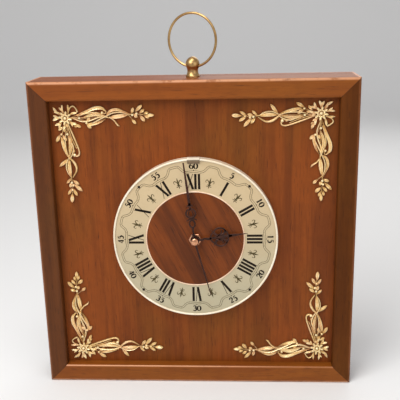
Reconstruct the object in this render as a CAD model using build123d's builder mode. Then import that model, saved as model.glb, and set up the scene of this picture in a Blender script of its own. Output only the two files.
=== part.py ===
from build123d import *
import os
from math import cos, degrees, hypot, radians, sin

# Square wall clock in a mitred wooden case, with a battery movement behind the panel.
# Millimetres. X points right, Y away from the viewer, Z up.
# The origin is the middle of the underside of the case.

# The case: four mitred rails round a recessed panel
CASE = 305.0
DEPTH = 51.0
RAIL = 18.0
RECESS = 10.0
PANEL_THICK = 6.0
REBATE = 5.0
OUTER_ROUND = 3.0
INNER_ROUND = 2.5
BACK_ROUND = 1.0
PANEL_GAP = 0.3
BATTEN_THICK = 4.8
BATTEN_HIGH = 8.0
BATTEN_GAP = 0.2
BLOCK_LEG = 20.0
BLOCK_LONG = 22.0
BRAD_RADIUS = 0.6
BRAD_HEAD = 1.2
BRAD_HEAD_THICK = 0.5
BRAD_BITE = 6.0
BRAD_SPOTS = (-110.0, 8.0, 110.0)

FRONT = -DEPTH / 2
BACK = DEPTH / 2
CENTRE_Z = CASE / 2
PANEL_FRONT = FRONT + RECESS
PANEL_BACK = PANEL_FRONT + PANEL_THICK
OPENING = CASE - 2 * RAIL
INSIDE = OPENING + 2 * REBATE
TURNS = {"top": 0, "right": 90, "bottom": 180, "left": 270}

# The saw-tooth hanger let into the back of the top rail
HANGER_LONG = 42.0
HANGER_HIGH = 7.0
HANGER_THICK = 0.9
HANGER_POCKET = 1.3
POCKET_GAP = 0.5
HANGER_UP = CASE / 2 - 6.5
HANGER_NAIL_X = 17.0
HANGER_NAIL_RADIUS = 0.7
HANGER_NAIL_LONG = 9.0
HANGER_NAIL_HEAD = 0.4
SAW_TEETH = 9
SAW_DEEP = 0.9
SAW_MARGIN = 8.0

# The ring on its turned post, which stands in the middle of the top rail
RING_OUTSIDE = 50.8
RING_WIRE = 1.15
RING_YAW = 22.7
RING_TOP = CASE + 59.2
EYE_RADIUS = 1.9
EYE_LIFT = 0.45
POST_FOOT = 6.5
POST_FOOT_THICK = 1.4
POST_WAIST = ((5.5, 3.4), (5.1, 5.6), (5.6, 8.4))
POST_BALL = 6.5
BALL_Z = CASE + 12.5
STUD_RADIUS = 2.0
STUD_GAP = 0.1
STUD_END = 20.0
POST_WASHER = 4.4
POST_WASHER_THICK = 0.8
POST_NUT_FLATS = 7.0
POST_NUT_THICK = 3.2

# The dial: a pressed pan on a wooden backing, with a printed ring and a wooden centre
DIAL_RADIUS = 79.5
PAN_SKIN = 0.8
BACKING_RADIUS = 78.6
BACKING_THICK = 6.2
PAN_FACE = 0.6
RIM_WIDE = 1.9
RIM_PROUD = 1.8
CHAPTER_OUTER = 77.4
CHAPTER_INNER = 47.9
CHAPTER_THICK = 0.4
BEZEL_INNER = 46.7
BEZEL_PROUD = 1.0
BEZEL_BEVEL = 0.3
CENTRE_THICK = 0.5
DIAL_PIN_CIRCLE = 74.0
DIAL_PIN_RADIUS = 0.6
DIAL_PIN_HEAD = 1.3
DIAL_PIN_HEAD_HIGH = 0.6
DIAL_PIN_TAPER = 30.0
DIAL_PIN_LONG = 11.0
CLIP_WIDE = 11.6
CLIP_LEG = 3.4
CLIP_DEEP = 6.5
CLIP_THICK = 0.6
CLIP_GAP = 0.05

BACKING_FRONT = PANEL_FRONT - BACKING_THICK
FACE_FRONT = BACKING_FRONT - PAN_FACE
CHAPTER_FRONT = FACE_FRONT - CHAPTER_THICK
CENTRE_FRONT = FACE_FRONT - CENTRE_THICK
RIM_FRONT = FACE_FRONT - RIM_PROUD

# The hands, and the tubes and the arbor that carry them through the dial
HOUR_TURN = 82.0
MINUTE_TURN = -6.8
SECOND_TURN = 165.0
HOUR_LONG = 51.0
MINUTE_LONG = 76.0
SECOND_LONG = 56.5
HAND_THICK = 0.5
RUNNING_GAP = 0.05
BUSHING_RADIUS = 4.0
BUSHING_HOLE = 4.2
BUSHING_FLANGE = 6.0
BUSHING_FLANGE_THICK = 1.0
HOUR_TUBE = 2.65
MINUTE_TUBE = 1.8
SECOND_ARBOR = 0.7
NUT_FLATS = 11.0
NUT_THICK = 2.2
NUT_BEVEL = 0.4
HAND_NUT_FLATS = 5.4
HAND_NUT_THICK = 1.2
CAP_RADIUS = 3.5
CAP_EDGE = 0.7

NUT_FRONT = CENTRE_FRONT - NUT_THICK
BUSHING_FRONT = NUT_FRONT - 0.3
HOUR_BACK = BUSHING_FRONT - 0.9
HOUR_FRONT = HOUR_BACK - HAND_THICK
HOUR_TUBE_FRONT = HOUR_FRONT - 0.1
MINUTE_BACK = HOUR_TUBE_FRONT - 1.3
MINUTE_FRONT = MINUTE_BACK - HAND_THICK
HAND_NUT_FRONT = MINUTE_FRONT - HAND_NUT_THICK
MINUTE_TUBE_FRONT = HAND_NUT_FRONT + 0.3
SECOND_BACK = HAND_NUT_FRONT - 0.6
SECOND_FRONT = SECOND_BACK - 0.3
CAP_FRONT = SECOND_FRONT - 2.2
SECOND_ARBOR_FRONT = SECOND_FRONT - 1.0

# The movement's two half shells, middle plate and battery bay
MOVEMENT = 56.0
WALL = 1.2
HALF = 8.5
GASKET_THICK = 1.0
GASKET_RADIUS = 11.0
SHELL_ROUND = 3.0
POST_XZ = ((-23.5, 12.0), (23.5, 12.0), (-23.5, -9.0), (23.5, -9.0))
SHELL_POST = 2.0
SCREW_RADIUS = 0.8
SCREW_HEAD = 1.8
SCREW_HEAD_THICK = 0.8
SCREW_SLOT = 0.5
SCREW_SLOT_DEEP = 0.4
SCREW_BITE = 4.5
SCREW_GAP = 0.1
SET_GAP = 0.3
PLATE_GAP = 0.4
PLATE_THICK = 1.0
PLATE_HIGH = 25.8
PLATE_UP = 2.0
BAY_TOP = -12.2
BAY_WALL = 1.0
CELL_RADIUS = 7.1
CELL_Z = -19.5
CELL_Y = 0.2
CELL_LONG = 49.2
CELL_BEVEL = 0.4
NUB_RADIUS = 2.75
NUB_LONG = 1.3
NUB_GAP = 0.7
CONTACT_GAP = 0.1
CONTACT_THICK = 0.4
CONTACT_WIDE = 11.0
BOW_WIDE = 6.0
BOW_GAP = 0.3

SHELL_FRONT = PANEL_BACK + GASKET_THICK
PARTING = SHELL_FRONT + HALF
SHELL_BACK = PARTING + HALF
ROOM_FRONT = SHELL_FRONT + WALL
ROOM_BACK = SHELL_BACK - WALL
ROOM = MOVEMENT - 2 * WALL
PLATE_FRONT = PARTING - 0.9
PLATE_BACK = PLATE_FRONT + PLATE_THICK

# The wheels: tooth counts and modules
ADDENDUM = 0.8
DEDENDUM = 1.2
TIP_SHARE = 0.1
ROOT_SHARE = 0.3
ARBOR = 0.5
PIVOT_HOLE = ARBOR + RUNNING_GAP
PIVOT_END_GAP = 0.2
CANNON_TEETH, MINUTE_WHEEL_TEETH, MOTION_MODULE = 16, 48, 0.3
MINUTE_PINION_TEETH, HOUR_TEETH, HOUR_MODULE = 12, 48, 0.32
SET_TEETH = 16
THIRD_TEETH, SECOND_PINION_TEETH, THIRD_MODULE = 60, 8, 0.3
CENTRE_TEETH, THIRD_PINION_TEETH, CENTRE_MODULE = 64, 8, 10.2 / 36
SECOND_TEETH, MIDDLE_PINION_TEETH, SECOND_MODULE = 40, 10, 0.27
MIDDLE_TEETH, ROTOR_TEETH, ROTOR_MODULE = 60, 8, 0.19
KNOB_TEETH, KNOB_MODULE = 24, 0.48
STUD = 0.8
SET_ARBOR = 1.0
ROTOR_RADIUS = 3.0

# How far in front of or behind the parting line each wheel lies, front face first
HOUR_LAYER = (PARTING - 6.1, PARTING - 5.3)
MINUTE_PINION_LAYER = (PARTING - 6.3, PARTING - 4.9)
CANNON_LAYER = (PARTING - 5.1, PARTING - 4.0)
MINUTE_WHEEL_LAYER = (PARTING - 4.9, PARTING - 4.2)
CENTRE_LAYER = (PARTING - 3.7, PARTING - 3.0)
THIRD_PINION_LAYER = (PARTING - 4.1, PARTING - 2.6)
THIRD_LAYER = (PARTING - 2.3, PARTING - 1.6)
SECOND_PINION_LAYER = (PARTING - 2.5, PARTING - 1.3)
SECOND_LAYER = (PARTING + 0.6, PARTING + 1.3)
MIDDLE_PINION_LAYER = (PARTING + 0.4, PARTING + 1.6)
MIDDLE_LAYER = (PARTING + 1.9, PARTING + 2.5)
ROTOR_PINION_LAYER = (PARTING + 1.7, PARTING + 2.9)
MAGNET_LAYER = (PARTING + 3.3, PARTING + 5.3)
KNOB_LAYER = (SHELL_BACK + 0.6, SHELL_BACK + 4.2)

# Where the arbors and the minute tube end, and how far the shells' bosses reach to meet them
MINUTE_TUBE_BACK = PARTING - 2.85
SET_ARBOR_FRONT, SET_BOSS_BACK = PARTING - 6.6, PARTING - 5.3
SET_ARBOR_BACK = SHELL_BACK + 3.5
THIRD_ARBOR_FRONT, THIRD_BOSS_BACK = PARTING - 6.2, PARTING - 4.6
STUD_BACK = PARTING - 4.0
SECOND_ARBOR_BACK, SECOND_BOSS_FRONT = PARTING + 6.6, PARTING + 5.2
MIDDLE_ARBOR_BACK, MIDDLE_BOSS_FRONT = PARTING + 6.5, PARTING + 5.0
ROTOR_ARBOR_BACK, ROTOR_BOSS_FRONT = PARTING + 7.2, PARTING + 5.8
BOSS_WALL = 1.0

# Where the arbors stand round the hub: direction as a clock angle, and distance
MINUTE_WHEEL_WAY = 270.0
SET_WAY = 325.0
THIRD_WAY = 60.0
MIDDLE_WAY = 0.0
ROTOR_WAY = 35.0

# The motor and the electronics
STATOR_LEFT, STATOR_RIGHT = -12.0, 20.0
STATOR_LEG = 4.0
STATOR_LOW, STATOR_WINDOW_LOW = 7.8, 16.3
STATOR_WINDOW_HIGH, STATOR_HIGH = 20.8, 23.8
STATOR_FRONT, STATOR_BACK = 3.6, 4.6
STATOR_HOLE = 3.5
COIL_LEFT, COIL_RIGHT = -6.0, 14.0
BOBBIN_WALL = 0.5
COIL_THICK, COIL_HIGH, COIL_ROUND = 5.2, 4.8, 0.35
FLANGE_THICK, FLANGE_HIGH, FLANGE_LONG = 5.8, 5.2, 1.0
BOARD_LOW, BOARD_HIGH = 16.0, 26.4
BOARD_HALF = 26.0
BOARD_FRONT, BOARD_BACK = -5.5, -4.5
BOARD_PEG_X, BOARD_PEG_Z = 22.0, 21.0
PEG, PEG_SHOULDER, PEG_TIP = 1.0, 2.0, 0.6
CHIP_X, CHIP_RADIUS, CHIP_HIGH, CHIP_TAPER = -6.0, 3.2, 1.2, 35
CRYSTAL_X, CRYSTAL_RADIUS, CRYSTAL_LONG = 4.0, 1.0, 6.0

# The corner castings, drawn for the top left corner from the middle of the case.
# Each stem is an arc through three points, with its width.
STEM_HIGH = 1.6
LEAF_HIGH = 2.6
ROSETTE = (-119.5, 118.0)
ROSETTE_RADIUS = 4.6
ROSETTE_HIGH = 4.4
ROSETTE_TAPER = 24.0
ORNAMENT_PIN = 0.5
ORNAMENT_PIN_HEAD = 1.0
ORNAMENT_PIN_HEAD_HIGH = 0.5
ORNAMENT_PIN_BITE = 4.0
ORNAMENT_PINS = ((-106.0, 118.0), (-118.3, 103.0), (-56.0, 120.4), (-117.3, 56.0))
STEMS = (
    ((-119.5, 118.0), (-107.5, 117.4), (-98.0, 113.0), 1.8),
    ((-116.0, 118.2), (-95.0, 117.8), (-76.0, 118.4), 2.0),
    ((-83.5, 126.0), (-80.3, 123.8), (-83.8, 122.2), 1.5),
    ((-80.5, 119.0), (-70.5, 125.0), (-57.5, 120.6), 1.9),
    ((-77.5, 118.2), (-73.2, 114.8), (-69.8, 110.6), 1.4),
    ((-61.0, 120.4), (-51.0, 120.2), (-42.0, 119.4), 1.8),
    ((-119.5, 118.0), (-118.2, 100.0), (-118.6, 78.0), 2.0),
    ((-117.5, 113.0), (-112.0, 98.5), (-108.4, 86.5), 1.5),
    ((-118.6, 112.0), (-114.4, 98.0), (-110.0, 86.0), 1.4),
    ((-108.6, 87.2), (-110.3, 82.0), (-114.2, 84.8), 1.7),
    ((-120.0, 114.0), (-122.6, 107.0), (-124.4, 101.5), 1.5),
    ((-118.4, 80.5), (-112.5, 70.5), (-116.6, 61.0), 1.7),
    ((-118.2, 63.0), (-117.3, 52.0), (-118.2, 42.0), 1.7),
)
# Each leaf runs between two points. Its width follows, and how far its middle bows to the left.
LEAVES = (
    ((-114.0, 118.6), (-82.6, 126.2), 4.0, 2.6),
    ((-102.0, 117.8), (-74.5, 118.0), 3.6, 2.0),
    ((-98.0, 112.2), (-80.0, 117.8), 3.4, 0.4),
    ((-99.0, 113.4), (-96.2, 119.0), 2.6, 0.0),
    ((-99.4, 113.6), (-95.4, 108.4), 2.6, 0.0),
    ((-77.5, 118.0), (-59.5, 120.5), 5.4, -0.6),
    ((-57.5, 119.6), (-55.2, 126.8), 2.8, 0.0),
    ((-54.0, 119.8), (-47.0, 129.2), 3.0, 0.0),
    ((-50.5, 120.2), (-44.6, 125.0), 2.6, 0.0),
    ((-44.0, 119.2), (-36.0, 120.0), 3.4, 0.0),
    ((-50.0, 120.2), (-45.0, 114.4), 3.0, 0.0),
    ((-56.0, 120.4), (-53.2, 113.2), 2.4, 0.0),
    ((-123.8, 104.0), (-129.2, 96.2), 3.0, 0.0),
    ((-124.4, 103.4), (-120.4, 96.6), 2.8, 0.0),
    ((-124.6, 102.0), (-118.4, 78.4), 4.0, -1.4),
    ((-117.6, 79.8), (-128.2, 71.8), 3.2, 0.0),
    ((-118.6, 79.4), (-118.0, 60.6), 4.6, 0.4),
    ((-117.0, 60.6), (-122.8, 55.2), 2.6, 0.0),
    ((-117.6, 60.0), (-110.6, 53.4), 2.8, 0.0),
    ((-117.6, 55.4), (-108.6, 47.8), 3.2, 0.0),
    ((-116.6, 52.0), (-121.6, 43.2), 2.4, 0.0),
    ((-117.8, 51.0), (-113.4, 44.2), 2.6, 0.0),
    ((-118.0, 45.6), (-118.7, 36.4), 3.4, 0.0),
)
# The rosette's petals: clock angle, reach and width
PETALS = (
    (-46.0, 15.0, 3.0), (-27.0, 11.0, 2.2), (-9.0, 12.6, 2.4), (16.0, 13.0, 2.4), (36.0, 13.2, 2.6),
    (66.0, 12.8, 2.6), (118.0, 12.4, 2.6), (139.0, 10.4, 2.4), (194.0, 11.4, 2.6), (214.0, 11.6, 2.6),
    (237.0, 12.0, 2.8), (260.0, 11.6, 3.0), (283.0, 11.0, 3.0),
)

# The hands, drawn from the hub and pointing to twelve. Their leaves are as in the castings.
HOUR_BOSS = 4.4
HOUR_LOOP, HOUR_LOOP_SIZE = (5.2, 24.5), (4.4, 6.2)
HOUR_HOLE, HOUR_HOLE_SIZE = (5.6, 24.5), (2.6, 4.4)
HOUR_STEM = (((0, 2), (0, 17), 3.6), ((0, 9), (0, 21), 3.2), ((0, 18), (0, 38), 4.6))
HOUR_SCROLLS = (
    ((0, 15), (8.2, 17.0), 2.2, -0.8),
    ((0, 15), (-8.2, 17.0), 2.2, 0.8),
    ((7.0, 29.5), (0, 35), 2.2, 0.6),
    ((-7.0, 29.5), (0, 35), 2.2, -0.6),
)
HOUR_TENDRILS = (((0.4, 24), (7.2, 26.6), 1.8), ((-0.4, 24), (-7.2, 26.6), 1.8))
HOUR_SPEAR = ((0, 31), (0, HOUR_LONG), 3.0)
MINUTE_BOSS = 3.8
MINUTE_LOOP, MINUTE_LOOP_SIZE, MINUTE_LOOP_HOLE = (0, 17.4), (3.4, 4.4), (1.8, 2.8)
MINUTE_EYE, MINUTE_EYE_RADIUS, MINUTE_EYE_HOLE = (0, 27.8), 5.4, 3.5
MINUTE_STEM = (((0, 2), (0, 15), 3.4), ((0, 13.5), (0, 22.5), 1.8), ((0, 21.5), (0, 39), 3.0))
MINUTE_SCROLLS = (
    ((0, 23.5), (5.4, 21.4), 1.8),
    ((0, 23.5), (-5.4, 21.4), 1.8),
    ((0, 36.0), (3.0, 34.4), 2.0),
    ((0, 36.0), (-3.0, 34.4), 2.0),
)
MINUTE_SPEAR = ((0, 33), (0, MINUTE_LONG + 6), 2.6)
SECOND_BOSS = 2.2
SECOND_TAIL = 8.0
SECOND_HALF_TIP, SECOND_HALF_HUB, SECOND_HALF_TAIL = 0.3, 0.9, 0.6

os.makedirs("parts", exist_ok=True)


def keep(piece, label):
    """Name a finished piece and write it."""
    piece.part.label = label
    export_step(piece.part, f"parts/{label}.step")


def facing(y, turn=0.0, x=0.0, z=0.0):
    """A plane at depth y that faces the viewer, turned clockwise. x and z are from the hub."""
    a = radians(turn)
    return Plane(origin=(x, y, CENTRE_Z + z), x_dir=(cos(a), 0, -sin(a)), z_dir=(0, -1, 0))


def away(clock, distance):
    """The X and Z steps that lead a distance from a point in a clock direction."""
    return distance * sin(radians(clock)), distance * cos(radians(clock))


def disc(radius, front, back, x=0.0, z=0.0, mode=Mode.ADD):
    """A round slab or, in subtract mode, a hole, from depth front to depth back."""
    with BuildSketch(facing(back, 0, x, z)) as outline:
        Circle(radius)
    extrude(outline.sketch, amount=back - front, mode=mode)


def spun(points, start=0.0, arc=360.0):
    """Spin an outline of (radius, depth) points round the hub's axis, from a clock angle."""
    a = radians(start)
    side = Plane(origin=(0, 0, CENTRE_Z), x_dir=(sin(a), 0, cos(a)), z_dir=(-cos(a), 0, sin(a)))
    with BuildSketch(side) as outline:
        with BuildLine():
            Polyline(*points, close=True)
        make_face()
    revolve(outline.sketch, axis=Axis((0, 0, CENTRE_Z), (0, 1, 0)), revolution_arc=arc)


def toothed(teeth, module, front, back, x=0.0, z=0.0, turn=0.0):
    """A toothed disc. Its teeth are straight wedges, thin enough to roll without touching."""
    tip = module * (teeth / 2 + ADDENDUM)
    root = module * (teeth / 2 - DEDENDUM)
    points = []
    for tooth in range(teeth):
        for radius, share in ((root, -ROOT_SHARE), (tip, -TIP_SHARE), (tip, TIP_SHARE), (root, ROOT_SHARE)):
            points.append(away((tooth + share) * 360 / teeth, radius))
    with BuildSketch(facing(back, turn, x, z)) as outline:
        with BuildLine():
            Polyline(*points, close=True)
        make_face()
    extrude(outline.sketch, amount=back - front)


def meshed(turn, teeth, way, other_teeth):
    """The turn at which a wheel that lies that way has a space facing this wheel's tooth."""
    pitch, other_pitch = 360 / teeth, 360 / other_teeth
    phase = ((way - turn) / pitch) % 1
    return way + 180 - other_pitch * (0.5 - phase)


def leaf(start, end, width, bow=0.0):
    """A pointed leaf between two points, made of two arcs."""
    dx, dy = end[0] - start[0], end[1] - start[1]
    long = hypot(dx, dy)
    left = (-dy / long, dx / long)
    middle = ((start[0] + end[0]) / 2, (start[1] + end[1]) / 2)
    sides = [
        (middle[0] + left[0] * (bow + s * width / 2), middle[1] + left[1] * (bow + s * width / 2))
        for s in (1, -1)
    ]
    with BuildLine() as outline:
        ThreePointArc(start, sides[0], end)
        ThreePointArc(start, sides[1], end)
    make_face(outline.edges())


def stem(start, middle, end, width):
    """A bent stem of even width with round ends, on the arc through three points."""
    with BuildLine() as line:
        ThreePointArc(start, middle, end)
    trace(line.line, line_width=width)
    with Locations(start, end):
        Circle(width / 2)


def brad_plane(turn, spot, distance):
    """A plane across a brad's line, that far from the case's middle and facing out of one side."""
    a = radians(turn)
    x = cos(a) * spot + sin(a) * distance
    z = cos(a) * distance - sin(a) * spot
    return Plane(origin=(x, PANEL_BACK + BATTEN_THICK / 2, CENTRE_Z + z), z_dir=(sin(a), 0, cos(a)))


def pin_holes(front, back):
    """Drill the dial's four pin holes between two depths."""
    for quarter in range(4):
        disc(DIAL_PIN_RADIUS, front, back, *away(45 + 90 * quarter, DIAL_PIN_CIRCLE), Mode.SUBTRACT)


def round_bar(thick, high, left, right, mode=Mode.ADD):
    """A block round the stator's bar, of the given thickness and height, between two X places."""
    bar_y = PARTING + (STATOR_FRONT + STATOR_BACK) / 2
    bar_z = CENTRE_Z + (STATOR_WINDOW_HIGH + STATOR_HIGH) / 2
    with BuildSketch(Plane(origin=(left, bar_y, bar_z), x_dir=(0, 1, 0), z_dir=(1, 0, 0))) as outline:
        Rectangle(thick, high)
    extrude(outline.sketch, amount=right - left, mode=mode)


# Rails, mitred at the corners, with a rebate for the panel
for side, turn in TURNS.items():
    with BuildPart() as rail:
        with BuildSketch(facing(BACK, turn)):
            with BuildLine():
                Polyline(
                    (-CASE / 2, CASE / 2), (CASE / 2, CASE / 2),
                    (OPENING / 2, OPENING / 2), (-OPENING / 2, OPENING / 2), close=True,
                )
            make_face()
        extrude(amount=DEPTH)
        rear_edges = rail.faces().sort_by(Axis.Y)[-1].edges().sort_by(SortBy.LENGTH)
        fillet(rear_edges[-1], BACK_ROUND)
        front_edges = rail.faces().sort_by(Axis.Y)[0].edges().sort_by(SortBy.LENGTH)
        fillet(front_edges[-2], INNER_ROUND)
        flat_faces = rail.faces().filter_by(Plane.XZ)
        front_edges = flat_faces.sort_by(Axis.Y)[0].edges().sort_by(SortBy.LENGTH)
        fillet(front_edges[-1], OUTER_ROUND)
        with BuildSketch(facing(BACK, turn)):
            with Locations((0, (OPENING + REBATE) / 2)):
                Rectangle(CASE, REBATE)
        extrude(amount=BACK - PANEL_FRONT, mode=Mode.SUBTRACT)
        for spot in BRAD_SPOTS:
            with BuildSketch(brad_plane(turn, spot, INSIDE / 2)):
                Circle(BRAD_RADIUS)
            extrude(amount=BRAD_BITE, mode=Mode.SUBTRACT)
        if side == "top":
            with BuildSketch(Plane.XY.offset(CASE - RAIL)):
                Circle(STUD_RADIUS + STUD_GAP)
            extrude(amount=RAIL, mode=Mode.SUBTRACT)
            with BuildSketch(facing(BACK, 0, 0, HANGER_UP)):
                Rectangle(HANGER_LONG + 2 * POCKET_GAP, HANGER_HIGH + 2 * POCKET_GAP)
            extrude(amount=HANGER_POCKET, mode=Mode.SUBTRACT)
            for x in (-HANGER_NAIL_X, HANGER_NAIL_X):
                disc(HANGER_NAIL_RADIUS, BACK - HANGER_NAIL_LONG, BACK, x, HANGER_UP, Mode.SUBTRACT)
    keep(rail, f"rail_{side}")

# Panel, drilled for the movement's bushing, the dial's pins and the ornaments' pins
with BuildPart() as panel:
    with BuildSketch(facing(PANEL_BACK)):
        Rectangle(INSIDE - 2 * PANEL_GAP, INSIDE - 2 * PANEL_GAP)
    extrude(amount=PANEL_THICK)
    disc(BUSHING_HOLE, PANEL_FRONT, PANEL_BACK, mode=Mode.SUBTRACT)
    pin_holes(PANEL_FRONT, PANEL_BACK)
    for quarter in range(4):
        with BuildSketch(facing(PANEL_FRONT + ORNAMENT_PIN_BITE, 90 * quarter)):
            with Locations(*ORNAMENT_PINS):
                Circle(ORNAMENT_PIN)
        extrude(amount=ORNAMENT_PIN_BITE, mode=Mode.SUBTRACT)
keep(panel, "front_panel")

# Battens that hold the panel in its rebate, and the brads that hold the battens
for side, turn in TURNS.items():
    long = INSIDE - 2 * BATTEN_GAP
    if side in ("left", "right"):
        long -= 2 * BATTEN_HIGH
    with BuildPart() as batten:
        with BuildSketch(facing(PANEL_BACK + BATTEN_THICK, turn)):
            with Locations((0, (INSIDE - BATTEN_HIGH) / 2)):
                Rectangle(long, BATTEN_HIGH)
        extrude(amount=BATTEN_THICK)
        for spot in BRAD_SPOTS:
            with BuildSketch(brad_plane(turn, spot, INSIDE / 2 - BATTEN_HIGH)):
                Circle(BRAD_RADIUS)
            extrude(amount=BATTEN_HIGH, mode=Mode.SUBTRACT)
    keep(batten, f"panel_batten_{side}")

with BuildPart() as brads:
    for turn in TURNS.values():
        for spot in BRAD_SPOTS:
            head_plane = brad_plane(turn, spot, INSIDE / 2 - BATTEN_HIGH)
            with BuildSketch(head_plane):
                Circle(BRAD_RADIUS)
            extrude(amount=BATTEN_HIGH + BRAD_BITE)
            with BuildSketch(head_plane):
                Circle(BRAD_HEAD)
            extrude(amount=-BRAD_HEAD_THICK)
keep(brads, "batten_brads")

# Glue blocks in the four corners behind the battens
with BuildPart() as blocks:
    for turn in TURNS.values():
        with BuildSketch(facing(PANEL_BACK + BATTEN_THICK + BATTEN_GAP + BLOCK_LONG, turn)):
            with BuildLine():
                Polyline(
                    (INSIDE / 2, INSIDE / 2), (INSIDE / 2 - BLOCK_LEG, INSIDE / 2),
                    (INSIDE / 2, INSIDE / 2 - BLOCK_LEG), close=True,
                )
            make_face()
        extrude(amount=BLOCK_LONG)
keep(blocks, "glue_blocks")

# Saw-tooth hanger and its two nails
pocket_floor = BACK - HANGER_POCKET
with BuildPart() as hanger:
    saw_long = HANGER_LONG - 2 * SAW_MARGIN
    saw = []
    for i in range(2 * SAW_TEETH + 1):
        saw.append((saw_long * (i / (2 * SAW_TEETH) - 0.5), -HANGER_HIGH / 2 + SAW_DEEP * (i % 2)))
    with BuildSketch(facing(pocket_floor + HANGER_THICK, 0, 0, HANGER_UP)):
        with BuildLine():
            Polyline(
                (-HANGER_LONG / 2, HANGER_HIGH / 2), (-HANGER_LONG / 2, -HANGER_HIGH / 2), *saw,
                (HANGER_LONG / 2, -HANGER_HIGH / 2), (HANGER_LONG / 2, HANGER_HIGH / 2), close=True,
            )
        make_face()
        with Locations((-HANGER_NAIL_X, 0), (HANGER_NAIL_X, 0)):
            Circle(HANGER_NAIL_RADIUS, mode=Mode.SUBTRACT)
    extrude(amount=HANGER_THICK)
keep(hanger, "sawtooth_hanger")

with BuildPart() as hanger_nails:
    head_y = pocket_floor + HANGER_THICK
    for x in (-HANGER_NAIL_X, HANGER_NAIL_X):
        disc(HANGER_NAIL_RADIUS, BACK - HANGER_NAIL_LONG, head_y, x, HANGER_UP)
        disc(2 * HANGER_NAIL_RADIUS, head_y, head_y + HANGER_NAIL_HEAD, x, HANGER_UP)
keep(hanger_nails, "hanger_nails")

# Post with a foot, neck and ball, its stud through the rail, its washer and nut
ring_radius = RING_OUTSIDE / 2 - RING_WIRE
ring_centre = RING_TOP - RING_OUTSIDE / 2
eye_z = ring_centre - ring_radius + EYE_LIFT
yaw = radians(RING_YAW)
ring_way = (cos(yaw), -sin(yaw), 0)
with BuildPart() as post:
    with BuildSketch(Plane.XZ):
        with BuildLine():
            foot = Polyline(
                (0, CASE - STUD_END), (STUD_RADIUS, CASE - STUD_END), (STUD_RADIUS, CASE),
                (POST_FOOT, CASE), (POST_FOOT, CASE + POST_FOOT_THICK),
            )
            waist = Spline(foot @ 1, *[(radius, CASE + height) for radius, height in POST_WAIST])
            ball = ThreePointArc(waist @ 1, (POST_BALL, BALL_Z), (0, BALL_Z + POST_BALL))
            Line(ball @ 1, foot @ 0)
        make_face()
    revolve(axis=Axis.Z)
    with BuildSketch(Plane(origin=(0, 0, eye_z), z_dir=ring_way)):
        Circle(EYE_RADIUS)
    extrude(amount=2 * POST_BALL, both=True, mode=Mode.SUBTRACT)
keep(post, "ring_post")

with BuildPart() as ring:
    ring_plane = Plane(origin=(0, 0, ring_centre), x_dir=ring_way, z_dir=(sin(yaw), cos(yaw), 0))
    with BuildLine(ring_plane) as hoop:
        CenterArc((0, 0), ring_radius, 0, 360)
    with BuildSketch(Plane(origin=hoop.line @ 0, z_dir=hoop.line % 0)):
        Circle(RING_WIRE)
    sweep(path=hoop.line)
keep(ring, "hanging_ring")

under_rail = CASE - RAIL + REBATE
with BuildPart() as post_washer:
    with BuildSketch(Plane.XY.offset(under_rail - POST_WASHER_THICK)):
        Circle(POST_WASHER)
        Circle(STUD_RADIUS, mode=Mode.SUBTRACT)
    extrude(amount=POST_WASHER_THICK)
keep(post_washer, "post_washer")

with BuildPart() as post_nut:
    with BuildSketch(Plane.XY.offset(under_rail - POST_WASHER_THICK - POST_NUT_THICK)):
        RegularPolygon(POST_NUT_FLATS / 2, 6, major_radius=False)
        Circle(STUD_RADIUS, mode=Mode.SUBTRACT)
    extrude(amount=POST_NUT_THICK)
keep(post_nut, "post_nut")

# Corner castings, the same one turned a quarter at each corner
for corner, turn in (("top_left", 0), ("top_right", 90), ("bottom_right", 180), ("bottom_left", 270)):
    with BuildPart() as ornament:
        with BuildSketch(facing(PANEL_FRONT, turn)):
            for line in STEMS:
                stem(*line)
        extrude(amount=STEM_HIGH)
        with BuildSketch(facing(PANEL_FRONT, turn)):
            for shape in LEAVES:
                leaf(*shape)
            for clock, reach, width in PETALS:
                dx, dz = away(clock, reach)
                leaf(ROSETTE, (ROSETTE[0] + dx, ROSETTE[1] + dz), width)
        extrude(amount=LEAF_HIGH)
        with BuildSketch(facing(PANEL_FRONT, turn)):
            with Locations(ROSETTE):
                Circle(ROSETTE_RADIUS)
        extrude(amount=ROSETTE_HIGH, taper=ROSETTE_TAPER)
        with BuildSketch(facing(PANEL_FRONT, turn)):
            with Locations(*ORNAMENT_PINS):
                Circle(ORNAMENT_PIN)
        extrude(amount=ROSETTE_HIGH, mode=Mode.SUBTRACT)
    keep(ornament, f"corner_ornament_{corner}")

with BuildPart() as ornament_pins:
    for quarter in range(4):
        with BuildSketch(facing(PANEL_FRONT + ORNAMENT_PIN_BITE, 90 * quarter)):
            with Locations(*ORNAMENT_PINS):
                Circle(ORNAMENT_PIN)
        extrude(amount=ORNAMENT_PIN_BITE + LEAF_HIGH)
        with BuildSketch(facing(PANEL_FRONT - LEAF_HIGH, 90 * quarter)):
            with Locations(*ORNAMENT_PINS):
                Circle(ORNAMENT_PIN_HEAD)
        extrude(amount=ORNAMENT_PIN_HEAD_HIGH)
keep(ornament_pins, "ornament_pins")

# Dial: backing, pan, printed ring, inner bezel, wooden centre, pins and clip
with BuildPart() as backing:
    disc(BACKING_RADIUS, BACKING_FRONT, PANEL_FRONT)
    disc(BUSHING_HOLE, BACKING_FRONT, PANEL_FRONT, mode=Mode.SUBTRACT)
    pin_holes(BACKING_FRONT, PANEL_FRONT)
keep(backing, "dial_backing")

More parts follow.
